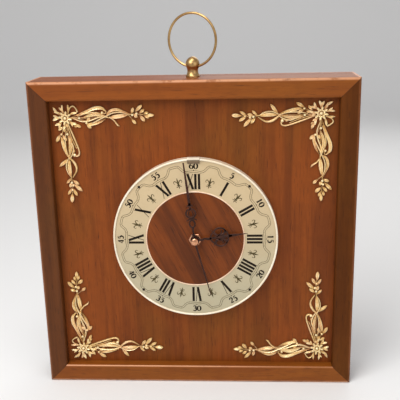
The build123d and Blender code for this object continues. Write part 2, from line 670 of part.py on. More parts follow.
with BuildPart() as pan:
    half_rim = RIM_WIDE / 2
    bead = []
    for t in range(0, 181, 20):
        along, across = cos(radians(t)), sin(radians(t))
        bead.append((DIAL_RADIUS - half_rim * (1 - along), RIM_FRONT + half_rim * (1 - across)))
    spun([
        (BUSHING_HOLE, BACKING_FRONT), (DIAL_RADIUS - PAN_SKIN, BACKING_FRONT),
        (DIAL_RADIUS - PAN_SKIN, PANEL_FRONT), (DIAL_RADIUS, PANEL_FRONT), *bead,
        (DIAL_RADIUS - RIM_WIDE, FACE_FRONT), (BUSHING_HOLE, FACE_FRONT),
    ])
    pin_holes(FACE_FRONT, BACKING_FRONT)
keep(pan, "dial_pan")

with BuildPart() as chapter:
    spun([
        (CHAPTER_INNER, FACE_FRONT), (CHAPTER_OUTER, FACE_FRONT),
        (CHAPTER_OUTER, CHAPTER_FRONT), (CHAPTER_INNER, CHAPTER_FRONT),
    ])
    pin_holes(CHAPTER_FRONT, FACE_FRONT)
keep(chapter, "chapter_ring")

with BuildPart() as bezel:
    bezel_front = FACE_FRONT - BEZEL_PROUD
    bevel_back = bezel_front + BEZEL_BEVEL
    spun([
        (BEZEL_INNER, FACE_FRONT), (CHAPTER_INNER, FACE_FRONT), (CHAPTER_INNER, bevel_back),
        (CHAPTER_INNER - BEZEL_BEVEL, bezel_front), (BEZEL_INNER + BEZEL_BEVEL, bezel_front),
        (BEZEL_INNER, bevel_back),
    ])
keep(bezel, "inner_bezel")

with BuildPart() as dial_centre:
    disc(BEZEL_INNER, CENTRE_FRONT, FACE_FRONT)
    disc(BUSHING_HOLE, CENTRE_FRONT, FACE_FRONT, mode=Mode.SUBTRACT)
keep(dial_centre, "dial_centre_wood")

with BuildPart() as dial_pins:
    for quarter in range(4):
        x, z = away(45 + 90 * quarter, DIAL_PIN_CIRCLE)
        disc(DIAL_PIN_RADIUS, CHAPTER_FRONT, CHAPTER_FRONT + DIAL_PIN_LONG, x, z)
        with BuildSketch(facing(CHAPTER_FRONT, 0, x, z)):
            Circle(DIAL_PIN_HEAD)
        extrude(amount=DIAL_PIN_HEAD_HIGH, taper=DIAL_PIN_TAPER)
keep(dial_pins, "dial_pins")

with BuildPart() as clip:
    clip_arc = degrees(CLIP_WIDE / DIAL_RADIUS)
    under = DIAL_RADIUS + CLIP_GAP
    over = under + CLIP_THICK
    nose_back = RIM_FRONT - CLIP_GAP
    nose_front = nose_back - CLIP_THICK
    spun([
        (under, RIM_FRONT + CLIP_DEEP), (over, RIM_FRONT + CLIP_DEEP), (over, nose_front),
        (over - CLIP_LEG, nose_front), (over - CLIP_LEG, nose_back), (under, nose_back),
    ], -clip_arc / 2, clip_arc)
keep(clip, "dial_clip")

# Nuts and bushing that clamp the movement to the panel
with BuildPart() as dial_nut:
    with BuildSketch(facing(CENTRE_FRONT)):
        RegularPolygon(NUT_FLATS / 2, 6, major_radius=False)
        Circle(BUSHING_RADIUS, mode=Mode.SUBTRACT)
    extrude(amount=NUT_THICK)
    chamfer(dial_nut.faces().sort_by(Axis.Y)[0].outer_wire().edges(), NUT_BEVEL)
keep(dial_nut, "dial_nut")

with BuildPart() as bushing:
    flange_back = ROOM_FRONT + BUSHING_FLANGE_THICK
    disc(BUSHING_RADIUS, BUSHING_FRONT, flange_back)
    disc(BUSHING_FLANGE, ROOM_FRONT, flange_back)
    disc(HOUR_TUBE + RUNNING_GAP, BUSHING_FRONT, flange_back, mode=Mode.SUBTRACT)
keep(bushing, "centre_bushing")

with BuildPart() as gasket:
    disc(GASKET_RADIUS, PANEL_BACK, SHELL_FRONT)
    disc(BUSHING_HOLE, PANEL_BACK, SHELL_FRONT, mode=Mode.SUBTRACT)
keep(gasket, "movement_gasket")

# Where each arbor stands, and the turn that brings its teeth into mesh
minute_wheel_at = away(MINUTE_WHEEL_WAY, MOTION_MODULE * (CANNON_TEETH + MINUTE_WHEEL_TEETH) / 2)
set_step = away(SET_WAY, MOTION_MODULE * (SET_TEETH + MINUTE_WHEEL_TEETH) / 2)
set_at = (minute_wheel_at[0] + set_step[0], minute_wheel_at[1] + set_step[1])
third_at = away(THIRD_WAY, THIRD_MODULE * (THIRD_TEETH + SECOND_PINION_TEETH) / 2)
middle_at = away(MIDDLE_WAY, SECOND_MODULE * (SECOND_TEETH + MIDDLE_PINION_TEETH) / 2)
rotor_step = away(ROTOR_WAY, ROTOR_MODULE * (MIDDLE_TEETH + ROTOR_TEETH) / 2)
rotor_at = (middle_at[0] + rotor_step[0], middle_at[1] + rotor_step[1])

minute_wheel_turn = meshed(0, CANNON_TEETH, MINUTE_WHEEL_WAY, MINUTE_WHEEL_TEETH)
hour_turn = meshed(0, MINUTE_PINION_TEETH, MINUTE_WHEEL_WAY + 180, HOUR_TEETH)
set_turn = meshed(minute_wheel_turn, MINUTE_WHEEL_TEETH, SET_WAY, SET_TEETH)
third_turn = meshed(0, SECOND_PINION_TEETH, THIRD_WAY, THIRD_TEETH)
centre_turn = meshed(0, THIRD_PINION_TEETH, THIRD_WAY + 180, CENTRE_TEETH)
middle_turn = meshed(0, SECOND_TEETH, MIDDLE_WAY, MIDDLE_PINION_TEETH)
rotor_turn = meshed(0, MIDDLE_TEETH, ROTOR_WAY, ROTOR_TEETH)

# Movement shells
with BuildPart() as front_shell:
    with BuildSketch(facing(PARTING)):
        RectangleRounded(MOVEMENT, MOVEMENT, SHELL_ROUND)
    extrude(amount=HALF)
    with BuildSketch(facing(PARTING)):
        RectangleRounded(ROOM, ROOM, SHELL_ROUND - WALL)
    extrude(amount=HALF - WALL, mode=Mode.SUBTRACT)
    with BuildSketch(facing(PARTING)):
        with Locations((0, BAY_TOP + BAY_WALL / 2)):
            Rectangle(ROOM, BAY_WALL)
    extrude(amount=HALF - WALL)
    for x, z in POST_XZ:
        disc(SHELL_POST, ROOM_FRONT, PLATE_FRONT, x, z)
        disc(SCREW_RADIUS, PARTING - SCREW_BITE, PLATE_FRONT, x, z, Mode.SUBTRACT)
    for x in (-BOARD_PEG_X, BOARD_PEG_X):
        disc(PEG_SHOULDER, ROOM_FRONT, PARTING + BOARD_FRONT, x, BOARD_PEG_Z)
        disc(PEG, ROOM_FRONT, PARTING + BOARD_BACK + PEG_TIP, x, BOARD_PEG_Z)
    disc(STUD, ROOM_FRONT, STUD_BACK, *minute_wheel_at)
    front_bosses = (
        (set_at, SET_ARBOR, SET_ARBOR_FRONT, SET_BOSS_BACK),
        (third_at, ARBOR, THIRD_ARBOR_FRONT, THIRD_BOSS_BACK),
    )
    for at, radius, arbor_front, boss_back in front_bosses:
        disc(radius + BOSS_WALL, ROOM_FRONT, boss_back, *at)
        disc(radius + RUNNING_GAP, arbor_front - PIVOT_END_GAP, boss_back, *at, mode=Mode.SUBTRACT)
    disc(BUSHING_RADIUS, SHELL_FRONT, ROOM_FRONT, mode=Mode.SUBTRACT)
keep(front_shell, "movement_front_case")

with BuildPart() as rear_shell:
    with BuildSketch(facing(SHELL_BACK)):
        RectangleRounded(MOVEMENT, MOVEMENT, SHELL_ROUND)
    extrude(amount=HALF)
    with BuildSketch(facing(ROOM_BACK)):
        RectangleRounded(ROOM, ROOM, SHELL_ROUND - WALL)
    extrude(amount=HALF - WALL, mode=Mode.SUBTRACT)
    with BuildSketch(facing(SHELL_BACK)):
        with Locations((0, (BAY_TOP - ROOM / 2) / 2)):
            RectangleRounded(ROOM, ROOM / 2 + BAY_TOP, SHELL_ROUND - WALL)
    extrude(amount=HALF, mode=Mode.SUBTRACT)
    with BuildSketch(facing(ROOM_BACK)):
        with Locations((0, BAY_TOP + BAY_WALL / 2)):
            Rectangle(ROOM, BAY_WALL)
    extrude(amount=HALF - WALL)
    for x, z in POST_XZ:
        disc(SHELL_POST, PLATE_BACK, ROOM_BACK, x, z)
        disc(SCREW_RADIUS, PLATE_BACK, SHELL_BACK, x, z, Mode.SUBTRACT)
    rear_bosses = (
        ((0, 0), SECOND_ARBOR, SECOND_ARBOR_BACK, SECOND_BOSS_FRONT),
        (middle_at, ARBOR, MIDDLE_ARBOR_BACK, MIDDLE_BOSS_FRONT),
        (rotor_at, ARBOR, ROTOR_ARBOR_BACK, ROTOR_BOSS_FRONT),
    )
    for at, radius, arbor_back, boss_front in rear_bosses:
        disc(radius + BOSS_WALL, boss_front, ROOM_BACK, *at)
        disc(radius + RUNNING_GAP, boss_front, arbor_back + PIVOT_END_GAP, *at, mode=Mode.SUBTRACT)
    disc(SET_ARBOR + RUNNING_GAP, PARTING, SHELL_BACK, *set_at, mode=Mode.SUBTRACT)
keep(rear_shell, "movement_rear_case")

with BuildPart() as middle_plate:
    with BuildSketch(facing(PLATE_BACK)):
        with Locations((0, PLATE_UP)):
            Rectangle(ROOM - PLATE_GAP, PLATE_HIGH)
    extrude(amount=PLATE_THICK)
    plate_holes = [(at, SCREW_RADIUS + SCREW_GAP) for at in POST_XZ]
    plate_holes += [((0, 0), SECOND_ARBOR + RUNNING_GAP), (set_at, SET_ARBOR + SET_GAP)]
    plate_holes += [(at, PIVOT_HOLE) for at in (third_at, middle_at, rotor_at)]
    for at, radius in plate_holes:
        disc(radius, PLATE_FRONT, PLATE_BACK, *at, mode=Mode.SUBTRACT)
keep(middle_plate, "middle_plate")

with BuildPart() as case_screws:
    for x, z in POST_XZ:
        disc(SCREW_RADIUS, PARTING - SCREW_BITE, SHELL_BACK, x, z)
        disc(SCREW_HEAD, SHELL_BACK, SHELL_BACK + SCREW_HEAD_THICK, x, z)
        with BuildSketch(facing(SHELL_BACK + SCREW_HEAD_THICK, 0, x, z)):
            Rectangle(2 * SCREW_HEAD, SCREW_SLOT)
        extrude(amount=SCREW_SLOT_DEEP, mode=Mode.SUBTRACT)
keep(case_screws, "movement_screws")

# Wheels that carry the hour and minute hands, and the time-setting train
with BuildPart() as hour_wheel:
    toothed(HOUR_TEETH, HOUR_MODULE, *HOUR_LAYER, turn=hour_turn)
    disc(HOUR_TUBE, HOUR_TUBE_FRONT, HOUR_LAYER[1])
    disc(MINUTE_TUBE + RUNNING_GAP, HOUR_TUBE_FRONT, HOUR_LAYER[1], mode=Mode.SUBTRACT)
keep(hour_wheel, "hour_wheel")

with BuildPart() as minute_arbor:
    disc(MINUTE_TUBE, MINUTE_TUBE_FRONT, MINUTE_TUBE_BACK)
    toothed(CANNON_TEETH, MOTION_MODULE, *CANNON_LAYER)
    disc(SECOND_ARBOR + RUNNING_GAP, MINUTE_TUBE_FRONT, MINUTE_TUBE_BACK, mode=Mode.SUBTRACT)
keep(minute_arbor, "minute_arbor")

with BuildPart() as minute_wheel:
    toothed(MINUTE_WHEEL_TEETH, MOTION_MODULE, *MINUTE_WHEEL_LAYER, *minute_wheel_at, minute_wheel_turn)
    toothed(MINUTE_PINION_TEETH, HOUR_MODULE, *MINUTE_PINION_LAYER, *minute_wheel_at)
    stud_hole = STUD + RUNNING_GAP
    disc(stud_hole, MINUTE_PINION_LAYER[0], MINUTE_WHEEL_LAYER[1], *minute_wheel_at, mode=Mode.SUBTRACT)
keep(minute_wheel, "minute_wheel")

with BuildPart() as set_spindle:
    toothed(SET_TEETH, MOTION_MODULE, *MINUTE_WHEEL_LAYER, *set_at, set_turn)
    disc(SET_ARBOR, SET_ARBOR_FRONT, SET_ARBOR_BACK, *set_at)
keep(set_spindle, "set_arbor")

with BuildPart() as set_knob:
    toothed(KNOB_TEETH, KNOB_MODULE, *KNOB_LAYER, *set_at)
    disc(SET_ARBOR, KNOB_LAYER[0], SET_ARBOR_BACK, *set_at, mode=Mode.SUBTRACT)
keep(set_knob, "set_knob")

# Wheels of the going train, from the centre wheel back to the rotor
with BuildPart() as centre_wheel:
    toothed(CENTRE_TEETH, CENTRE_MODULE, *CENTRE_LAYER, turn=centre_turn)
    disc(MINUTE_TUBE + RUNNING_GAP, *CENTRE_LAYER, mode=Mode.SUBTRACT)
keep(centre_wheel, "centre_wheel")

with BuildPart() as third_wheel:
    toothed(THIRD_PINION_TEETH, CENTRE_MODULE, *THIRD_PINION_LAYER, *third_at)
    toothed(THIRD_TEETH, THIRD_MODULE, *THIRD_LAYER, *third_at, third_turn)
    disc(ARBOR, THIRD_ARBOR_FRONT, PLATE_BACK, *third_at)
keep(third_wheel, "third_wheel")

with BuildPart() as second_wheel:
    toothed(SECOND_PINION_TEETH, THIRD_MODULE, *SECOND_PINION_LAYER)
    toothed(SECOND_TEETH, SECOND_MODULE, *SECOND_LAYER)
    disc(SECOND_ARBOR, SECOND_ARBOR_FRONT, SECOND_ARBOR_BACK)
keep(second_wheel, "second_wheel")

with BuildPart() as middle_wheel:
    toothed(MIDDLE_PINION_TEETH, SECOND_MODULE, *MIDDLE_PINION_LAYER, *middle_at, middle_turn)
    toothed(MIDDLE_TEETH, ROTOR_MODULE, *MIDDLE_LAYER, *middle_at)
    disc(ARBOR, PLATE_FRONT, MIDDLE_ARBOR_BACK, *middle_at)
keep(middle_wheel, "intermediate_wheel")

with BuildPart() as rotor:
    toothed(ROTOR_TEETH, ROTOR_MODULE, *ROTOR_PINION_LAYER, *rotor_at, rotor_turn)
    disc(ROTOR_RADIUS, *MAGNET_LAYER, *rotor_at)
    disc(ARBOR, PLATE_FRONT, ROTOR_ARBOR_BACK, *rotor_at)
keep(rotor, "rotor")

# Motor, board and battery contacts
with BuildPart() as stator:
    with BuildSketch(facing(PARTING + STATOR_BACK)):
        with Locations(((STATOR_LEFT + STATOR_RIGHT) / 2, (STATOR_LOW + STATOR_HIGH) / 2)):
            Rectangle(STATOR_RIGHT - STATOR_LEFT, STATOR_HIGH - STATOR_LOW)
        with Locations(((STATOR_LEFT + STATOR_RIGHT) / 2, (STATOR_WINDOW_LOW + STATOR_WINDOW_HIGH) / 2)):
            Rectangle(
                STATOR_RIGHT - STATOR_LEFT - 2 * STATOR_LEG, STATOR_WINDOW_HIGH - STATOR_WINDOW_LOW,
                mode=Mode.SUBTRACT,
            )
        with Locations(rotor_at):
            Circle(STATOR_HOLE, mode=Mode.SUBTRACT)
    extrude(amount=STATOR_BACK - STATOR_FRONT)
keep(stator, "stator")

bar_thick = STATOR_BACK - STATOR_FRONT
bar_high = STATOR_HIGH - STATOR_WINDOW_HIGH
wire_left, wire_right = COIL_LEFT + FLANGE_LONG, COIL_RIGHT - FLANGE_LONG
with BuildPart() as bobbin:
    round_bar(bar_thick + 2 * BOBBIN_WALL, bar_high + 2 * BOBBIN_WALL, COIL_LEFT, COIL_RIGHT)
    round_bar(FLANGE_THICK, FLANGE_HIGH, COIL_LEFT, wire_left)
    round_bar(FLANGE_THICK, FLANGE_HIGH, wire_right, COIL_RIGHT)
    round_bar(bar_thick, bar_high, COIL_LEFT, COIL_RIGHT, Mode.SUBTRACT)
keep(bobbin, "coil_bobbin")

with BuildPart() as winding:
    round_bar(COIL_THICK, COIL_HIGH, wire_left, wire_right)
    fillet(winding.edges().filter_by(Axis.X), COIL_ROUND)
    round_bar(bar_thick + 2 * BOBBIN_WALL, bar_high + 2 * BOBBIN_WALL, wire_left, wire_right, Mode.SUBTRACT)
keep(winding, "coil_winding")

with BuildPart() as board:
    with BuildSketch(facing(PARTING + BOARD_BACK)):
        with Locations((0, (BOARD_LOW + BOARD_HIGH) / 2)):
            Rectangle(2 * BOARD_HALF, BOARD_HIGH - BOARD_LOW)
        with Locations((-BOARD_PEG_X, BOARD_PEG_Z), (BOARD_PEG_X, BOARD_PEG_Z)):
            Circle(PEG, mode=Mode.SUBTRACT)
    extrude(amount=BOARD_BACK - BOARD_FRONT)
keep(board, "circuit_board")

with BuildPart() as chip:
    with BuildSketch(facing(PARTING + BOARD_FRONT, 0, CHIP_X, BOARD_PEG_Z)):
        Circle(CHIP_RADIUS)
    extrude(amount=CHIP_HIGH, taper=CHIP_TAPER)
keep(chip, "timing_chip")

with BuildPart() as crystal:
    crystal_y = PARTING + BOARD_BACK + CRYSTAL_RADIUS
    with BuildSketch(Plane(origin=(CRYSTAL_X, crystal_y, CENTRE_Z + BOARD_PEG_Z), z_dir=(1, 0, 0))):
        Circle(CRYSTAL_RADIUS)
    extrude(amount=CRYSTAL_LONG)
keep(crystal, "quartz_crystal")

# The battery lies between a flat positive contact and a bowed negative one
half_room = ROOM / 2
cell_left = -half_room + NUB_GAP + NUB_LONG
cell_right = cell_left + CELL_LONG
cell_y, cell_z = PARTING + CELL_Y, CENTRE_Z + CELL_Z
with BuildPart() as battery:
    cell_plane = Plane(origin=(cell_left, cell_y, cell_z), z_dir=(1, 0, 0))
    with BuildSketch(cell_plane):
        Circle(CELL_RADIUS)
    extrude(amount=CELL_LONG)
    chamfer(battery.edges().filter_by(GeomType.CIRCLE), CELL_BEVEL)
    with BuildSketch(cell_plane):
        Circle(NUB_RADIUS)
    extrude(amount=-NUB_LONG)
keep(battery, "battery")

with BuildPart() as positive:
    strip_plane = Plane(origin=(-half_room + CONTACT_GAP, cell_y, cell_z), z_dir=(1, 0, 0))
    with BuildSketch(strip_plane):
        Rectangle(CONTACT_WIDE, CONTACT_WIDE)
    extrude(amount=CONTACT_THICK)
keep(positive, "positive_contact")

with BuildPart() as negative:
    bow = half_room - CONTACT_GAP - cell_right - BOW_GAP
    bow_plane = Plane(origin=(half_room - CONTACT_GAP, cell_y, cell_z), z_dir=(0, 1, 0), x_dir=(-1, 0, 0))
    half_long = CONTACT_WIDE / 2
    with BuildSketch(bow_plane):
        with BuildLine():
            outer = ThreePointArc((0, -half_long), (bow, 0), (0, half_long))
            end = Line(outer @ 1, (0, half_long - CONTACT_THICK))
            inner = ThreePointArc(end @ 1, (bow - CONTACT_THICK, 0), (0, CONTACT_THICK - half_long))
            Line(inner @ 1, outer @ 0)
        make_face()
    extrude(amount=BOW_WIDE / 2, both=True)
keep(negative, "negative_contact")

# Hands, each drawn pointing to twelve and then turned
with BuildPart() as hour_hand:
    with BuildSketch(facing(HOUR_BACK, HOUR_TURN)):
        Circle(HOUR_BOSS)
        with Locations(HOUR_LOOP, (-HOUR_LOOP[0], HOUR_LOOP[1])):
            Ellipse(*HOUR_LOOP_SIZE)
        for shape in (*HOUR_STEM, *HOUR_SCROLLS):
            leaf(*shape)
        with Locations(HOUR_HOLE, (-HOUR_HOLE[0], HOUR_HOLE[1])):
            Ellipse(*HOUR_HOLE_SIZE, mode=Mode.SUBTRACT)
        for shape in (*HOUR_TENDRILS, HOUR_SPEAR):
            leaf(*shape)
        Circle(HOUR_TUBE, mode=Mode.SUBTRACT)
    extrude(amount=HAND_THICK)
keep(hour_hand, "hour_hand")

with BuildPart() as minute_hand:
    with BuildSketch(facing(MINUTE_BACK, MINUTE_TURN)):
        Circle(MINUTE_BOSS)
        with Locations(MINUTE_LOOP):
            Ellipse(*MINUTE_LOOP_SIZE)
            Ellipse(*MINUTE_LOOP_HOLE, mode=Mode.SUBTRACT)
        with Locations(MINUTE_EYE):
            Circle(MINUTE_EYE_RADIUS)
            Circle(MINUTE_EYE_HOLE, mode=Mode.SUBTRACT)
        for shape in (*MINUTE_STEM, *MINUTE_SCROLLS, MINUTE_SPEAR):
            leaf(*shape)
        with Locations((0, MINUTE_LONG)):
            Rectangle(CASE, CASE, align=(Align.CENTER, Align.MIN), mode=Mode.SUBTRACT)
        Circle(MINUTE_TUBE, mode=Mode.SUBTRACT)
    extrude(amount=HAND_THICK)
keep(minute_hand, "minute_hand")

with BuildPart() as second_hand:
    with BuildSketch(facing(SECOND_BACK, SECOND_TURN)):
        Circle(SECOND_BOSS)
        with BuildLine():
            Polyline(
                (-SECOND_HALF_HUB, 0), (-SECOND_HALF_TIP, SECOND_LONG), (SECOND_HALF_TIP, SECOND_LONG),
                (SECOND_HALF_HUB, 0), (SECOND_HALF_TAIL, -SECOND_TAIL), (-SECOND_HALF_TAIL, -SECOND_TAIL),
                close=True,
            )
        make_face()
        Circle(SECOND_ARBOR, mode=Mode.SUBTRACT)
    extrude(amount=SECOND_BACK - SECOND_FRONT)
keep(second_hand, "second_hand")

with BuildPart() as cap:
    dome_back = SECOND_FRONT - CAP_EDGE
    dome = []
    for t in range(0, 91, 15):
        along, up = cos(radians(t)), sin(radians(t))
        dome.append((CAP_RADIUS * along, dome_back + (CAP_FRONT - dome_back) * up))
    spun([(0, SECOND_FRONT), (CAP_RADIUS, SECOND_FRONT), *dome])
    disc(SECOND_ARBOR, SECOND_ARBOR_FRONT, SECOND_FRONT, mode=Mode.SUBTRACT)
keep(cap, "second_hand_cap")

with BuildPart() as hand_nut:
    with BuildSketch(facing(MINUTE_FRONT)):
        RegularPolygon(HAND_NUT_FLATS / 2, 6, major_radius=False)
        Circle(MINUTE_TUBE, mode=Mode.SUBTRACT)
    extrude(amount=HAND_NUT_THICK)
keep(hand_nut, "hand_nut")
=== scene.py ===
"""Looks of a square wooden wall clock with a round dial, gilt corner castings and a hanging ring.

Sizes are millimetres in the row frame: X to the right, Y to the back, Z up, the case standing on Z = 0.
"""

import logging
import math
from dataclasses import dataclass
from enum import Enum
from typing import Any, Sequence

import bmesh
import bpy
import numpy as np
from mathutils import Matrix


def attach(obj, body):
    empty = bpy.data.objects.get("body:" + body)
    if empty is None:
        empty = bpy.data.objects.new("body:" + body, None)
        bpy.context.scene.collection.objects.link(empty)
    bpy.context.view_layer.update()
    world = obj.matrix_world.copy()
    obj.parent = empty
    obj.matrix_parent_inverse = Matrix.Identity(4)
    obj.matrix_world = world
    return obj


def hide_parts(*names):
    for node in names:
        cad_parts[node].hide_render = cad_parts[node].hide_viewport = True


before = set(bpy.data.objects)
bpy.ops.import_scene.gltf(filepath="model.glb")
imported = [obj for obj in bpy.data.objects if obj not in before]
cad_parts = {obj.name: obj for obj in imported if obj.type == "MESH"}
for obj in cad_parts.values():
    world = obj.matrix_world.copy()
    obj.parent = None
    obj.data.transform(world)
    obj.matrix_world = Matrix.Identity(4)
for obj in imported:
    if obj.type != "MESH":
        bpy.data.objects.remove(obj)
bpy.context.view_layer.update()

MM = 0.001
CENTRE_Z = 152.5
PANEL_FRONT = -15.5
CHAPTER_FRONT = -22.7
LOG = logging.getLogger("wall_clock")
Colour = tuple[float, float, float]
Flat = tuple[float, float]


def srgb(red: float, green: float, blue: float) -> Colour:
    """Turn a colour given in 0 to 255 display values into linear light.

    Args:
        red: Red display value.
        green: Green display value.
        blue: Blue display value.

    Returns:
        The linear colour.
    """
    values = np.array([red, green, blue]) / 255
    linear = np.where(values <= 0.04045, values / 12.92, ((values + 0.055) / 1.055) ** 2.4)
    return tuple(float(value) for value in linear)


class Section(Enum):
    """How a ribbon is shaped across its width."""

    ROUND = "half round"
    LEAF = "cupped, with raised edges and a fine rib down the middle"
    FOLD = "two folds side by side"
    PLATE = "flat, with a small bevel on both edges"


class Grain(Enum):
    """The way the grain of a board runs."""

    ALONG_X = (0.0, math.radians(90), 0.0)
    ALONG_Z = (0.0, 0.0, 0.0)
    SLANTED = (0.0, math.radians(27), 0.0)


# Surfaces.


@dataclass
class Surface:
    """Points in millimetres and the four-cornered faces between them."""

    points: np.ndarray
    faces: np.ndarray


def joined(parts: Sequence[Surface]) -> Surface:
    """Put several surfaces into one.

    Args:
        parts: The surfaces.

    Returns:
        One surface with all their points and faces.
    """
    starts = np.cumsum([0] + [len(part.points) for part in parts[:-1]])
    faces = [part.faces + start for part, start in zip(parts, starts)]
    return Surface(np.concatenate([part.points for part in parts]), np.concatenate(faces))


def grid_surface(points: np.ndarray, close_rows: bool = False, close_columns: bool = False) -> Surface:
    """Join a grid of points with four-cornered faces.

    Args:
        points: Rows by columns by 3.
        close_rows: Whether the last row meets the first.
        close_columns: Whether the last column meets the first.

    Returns:
        The surface.
    """
    rows, columns = points.shape[:2]
    index = np.arange(rows * columns).reshape(rows, columns)
    if close_rows:
        index = np.concatenate([index, index[:1]])
    if close_columns:
        index = np.concatenate([index, index[:, :1]], axis=1)
    corners = (index[:-1, :-1], index[:-1, 1:], index[1:, 1:], index[1:, :-1])
    return Surface(points.reshape(-1, 3), np.stack(corners, axis=-1).reshape(-1, 4))


def smooth_path(points: Sequence[Flat], count: int) -> np.ndarray:
    """Draw a smooth line through a few points.

    Each stretch is a cubic that leaves a point in the direction from its last neighbour to its next.

    Args:
        points: The points it goes through.
        count: How many points the line gets.

    Returns:
        Count by 2 points.
    """
    knots = np.array(points, float)
    padded = np.concatenate([[2 * knots[0] - knots[1]], knots, [2 * knots[-1] - knots[-2]]])
    steps = np.linspace(0, len(knots) - 1, count)
    start = np.minimum(steps.astype(int), len(knots) - 2)
    t = (steps - start)[:, None]
    a, b, c, d = (padded[start + shift] for shift in range(4))
    return 0.5 * (2 * b + (c - a) * t + (2 * a - 5 * b + 4 * c - d) * t**2 + (3 * b - a - 3 * c + d) * t**3)


def crown(section: Section, across: int) -> tuple[np.ndarray, np.ndarray]:
    """Give a ribbon's section as places across it and heights, both as shares.

    Round is the root of one minus the place squared. A leaf rises to its edges and drops off there, with a
    narrow bell for its rib. A fold is two half circles side by side.

    Args:
        section: The kind of section.
        across: How many points it has.

    Returns:
        Places from -1 to 1, and heights from 0 to 1.
    """
    if section is Section.PLATE:
        return np.array([-1.0, -0.9, 0.9, 1.0]), np.array([0.75, 1.0, 1.0, 0.75])
    place = np.sin(np.linspace(-math.pi / 2, math.pi / 2, across))
    edge = np.sqrt(np.clip(1 - place**6, 0, 1))
    if section is Section.LEAF:
        return place, edge * (0.58 + 0.42 * np.abs(place) ** 1.4 + 0.30 * np.exp(-((place / 0.14) ** 2)))
    if section is Section.FOLD:
        return place, edge * (0.45 + 0.55 * np.abs(np.sin(1.5 * math.pi * place)) ** 0.7)
    return place, np.sqrt(np.clip(1 - place**2, 0, 1))


def ribbon(
    path: np.ndarray,
    half_width: np.ndarray,
    crest: np.ndarray,
    lift: np.ndarray | float = 0.0,
    section: Section = Section.ROUND,
    across: int = 11,
) -> Surface:
    """Carry a section along a flat line, as a closed form that lies on a plane.

    A point is the line's point plus the place across times the half width, along the line's normal, and
    its height is the lift plus the crest times the section's height. The back is flat and the ends close.

    Args:
        path: Count by 2 points of the middle line.
        half_width: Half the width at each point.
        crest: The height at each point.
        lift: How far the back is off the plane.
        section: The kind of section.
        across: How many points the section has.

    Returns:
        A surface whose points are (along, up, height).
    """
    slope = np.gradient(path, axis=0)
    slope /= np.maximum(np.linalg.norm(slope, axis=1, keepdims=True), 1e-9)
    normal = np.stack([-slope[:, 1], slope[:, 0]], axis=1)
    place, height = crown(section, across)
    place = np.concatenate([place, [1.0, 0.0, -1.0]])
    height = np.concatenate([height, [0.0, 0.0, 0.0]])
    flat = path[:, None] + normal[:, None] * (half_width[:, None] * place)[..., None]
    high = np.broadcast_to(np.asarray(lift, float), crest.shape)[:, None] + crest[:, None] * height
    rows = np.concatenate([flat, high[..., None]], axis=2)
    cap_shape = rows[:1].shape
    first = np.broadcast_to(rows[0].mean(axis=0), cap_shape)
    last = np.broadcast_to(rows[-1].mean(axis=0), cap_shape)
    return grid_surface(np.concatenate([first, rows, last]), close_columns=True)


def stroke(points: Sequence[Flat], widths: Sequence[float], crest: float, lift: float = 0.0,
           section: Section = Section.ROUND, count: int = 28, across: int = 9) -> Surface:
    """Draw a line whose width changes smoothly along it.

    Args:
        points: The points it goes through.
        widths: Full widths, spaced evenly along it.
        crest: Its height.
        lift: How far its back is off the plane.
        section: The kind of section.
        count: Points along it.
        across: Points across it.

    Returns:
        The closed form.
    """
    u = np.linspace(0, 1, count)
    half = np.interp(u, np.linspace(0, 1, len(widths)), widths) / 2
    high = np.full(count, crest) if section is Section.PLATE else crest * np.clip(
        half / half.max(), 0.35, 1
    )
    return ribbon(smooth_path(points, count), half, high, lift, section, across)


def blade(points: Sequence[Flat], width: float, crest: float, lift: float = 0.0, belly: float = 0.55,
          section: Section = Section.LEAF, count: int = 26, across: int = 13, curl: float = 0.0) -> Surface:
    """Shape a leaf or bud that is narrow at both ends.

    The half width is the width times the sine of pi times u to a power that puts the belly where it is
    asked, and the whole rises towards the tip by the curl.

    Args:
        points: The points its middle goes through, root first.
        width: Its full width at the belly.
        crest: Its height at the belly.
        lift: How far its back is off the plane.
        belly: Where along it is widest, as a share.
        section: The kind of section.
        count: Points along it.
        across: Points across it.
        curl: How far its tip rises.

    Returns:
        The closed form.
    """
    u = np.linspace(0, 1, count)
    swell = np.sin(math.pi * u ** (math.log(0.5) / math.log(belly))) ** 0.75
    swell = np.clip(swell, 0.10, 1)
    return ribbon(smooth_path(points, count), width / 2 * swell, crest * (0.45 + 0.55 * swell),
                  lift + curl * u**2, section, across)


def turned(profile: Sequence[Flat], count: int = 64) -> Surface:
    """Turn a profile of radius and height about the height axis.

    A point is (radius sin a, radius cos a, height), and a profile that starts and ends at radius 0 is
    closed.

    Args:
        profile: Radius and height pairs.
        count: Steps around.

    Returns:
        A surface whose points are (along, up, height).
    """
    outline = np.array(profile, float)
    angle = np.linspace(0, 2 * math.pi, count, endpoint=False)[:, None]
    rows = (outline[:, 0] * np.sin(angle), outline[:, 0] * np.cos(angle), outline[:, 1] + 0 * angle)
    return grid_surface(np.stack(rows, axis=-1), close_rows=True)


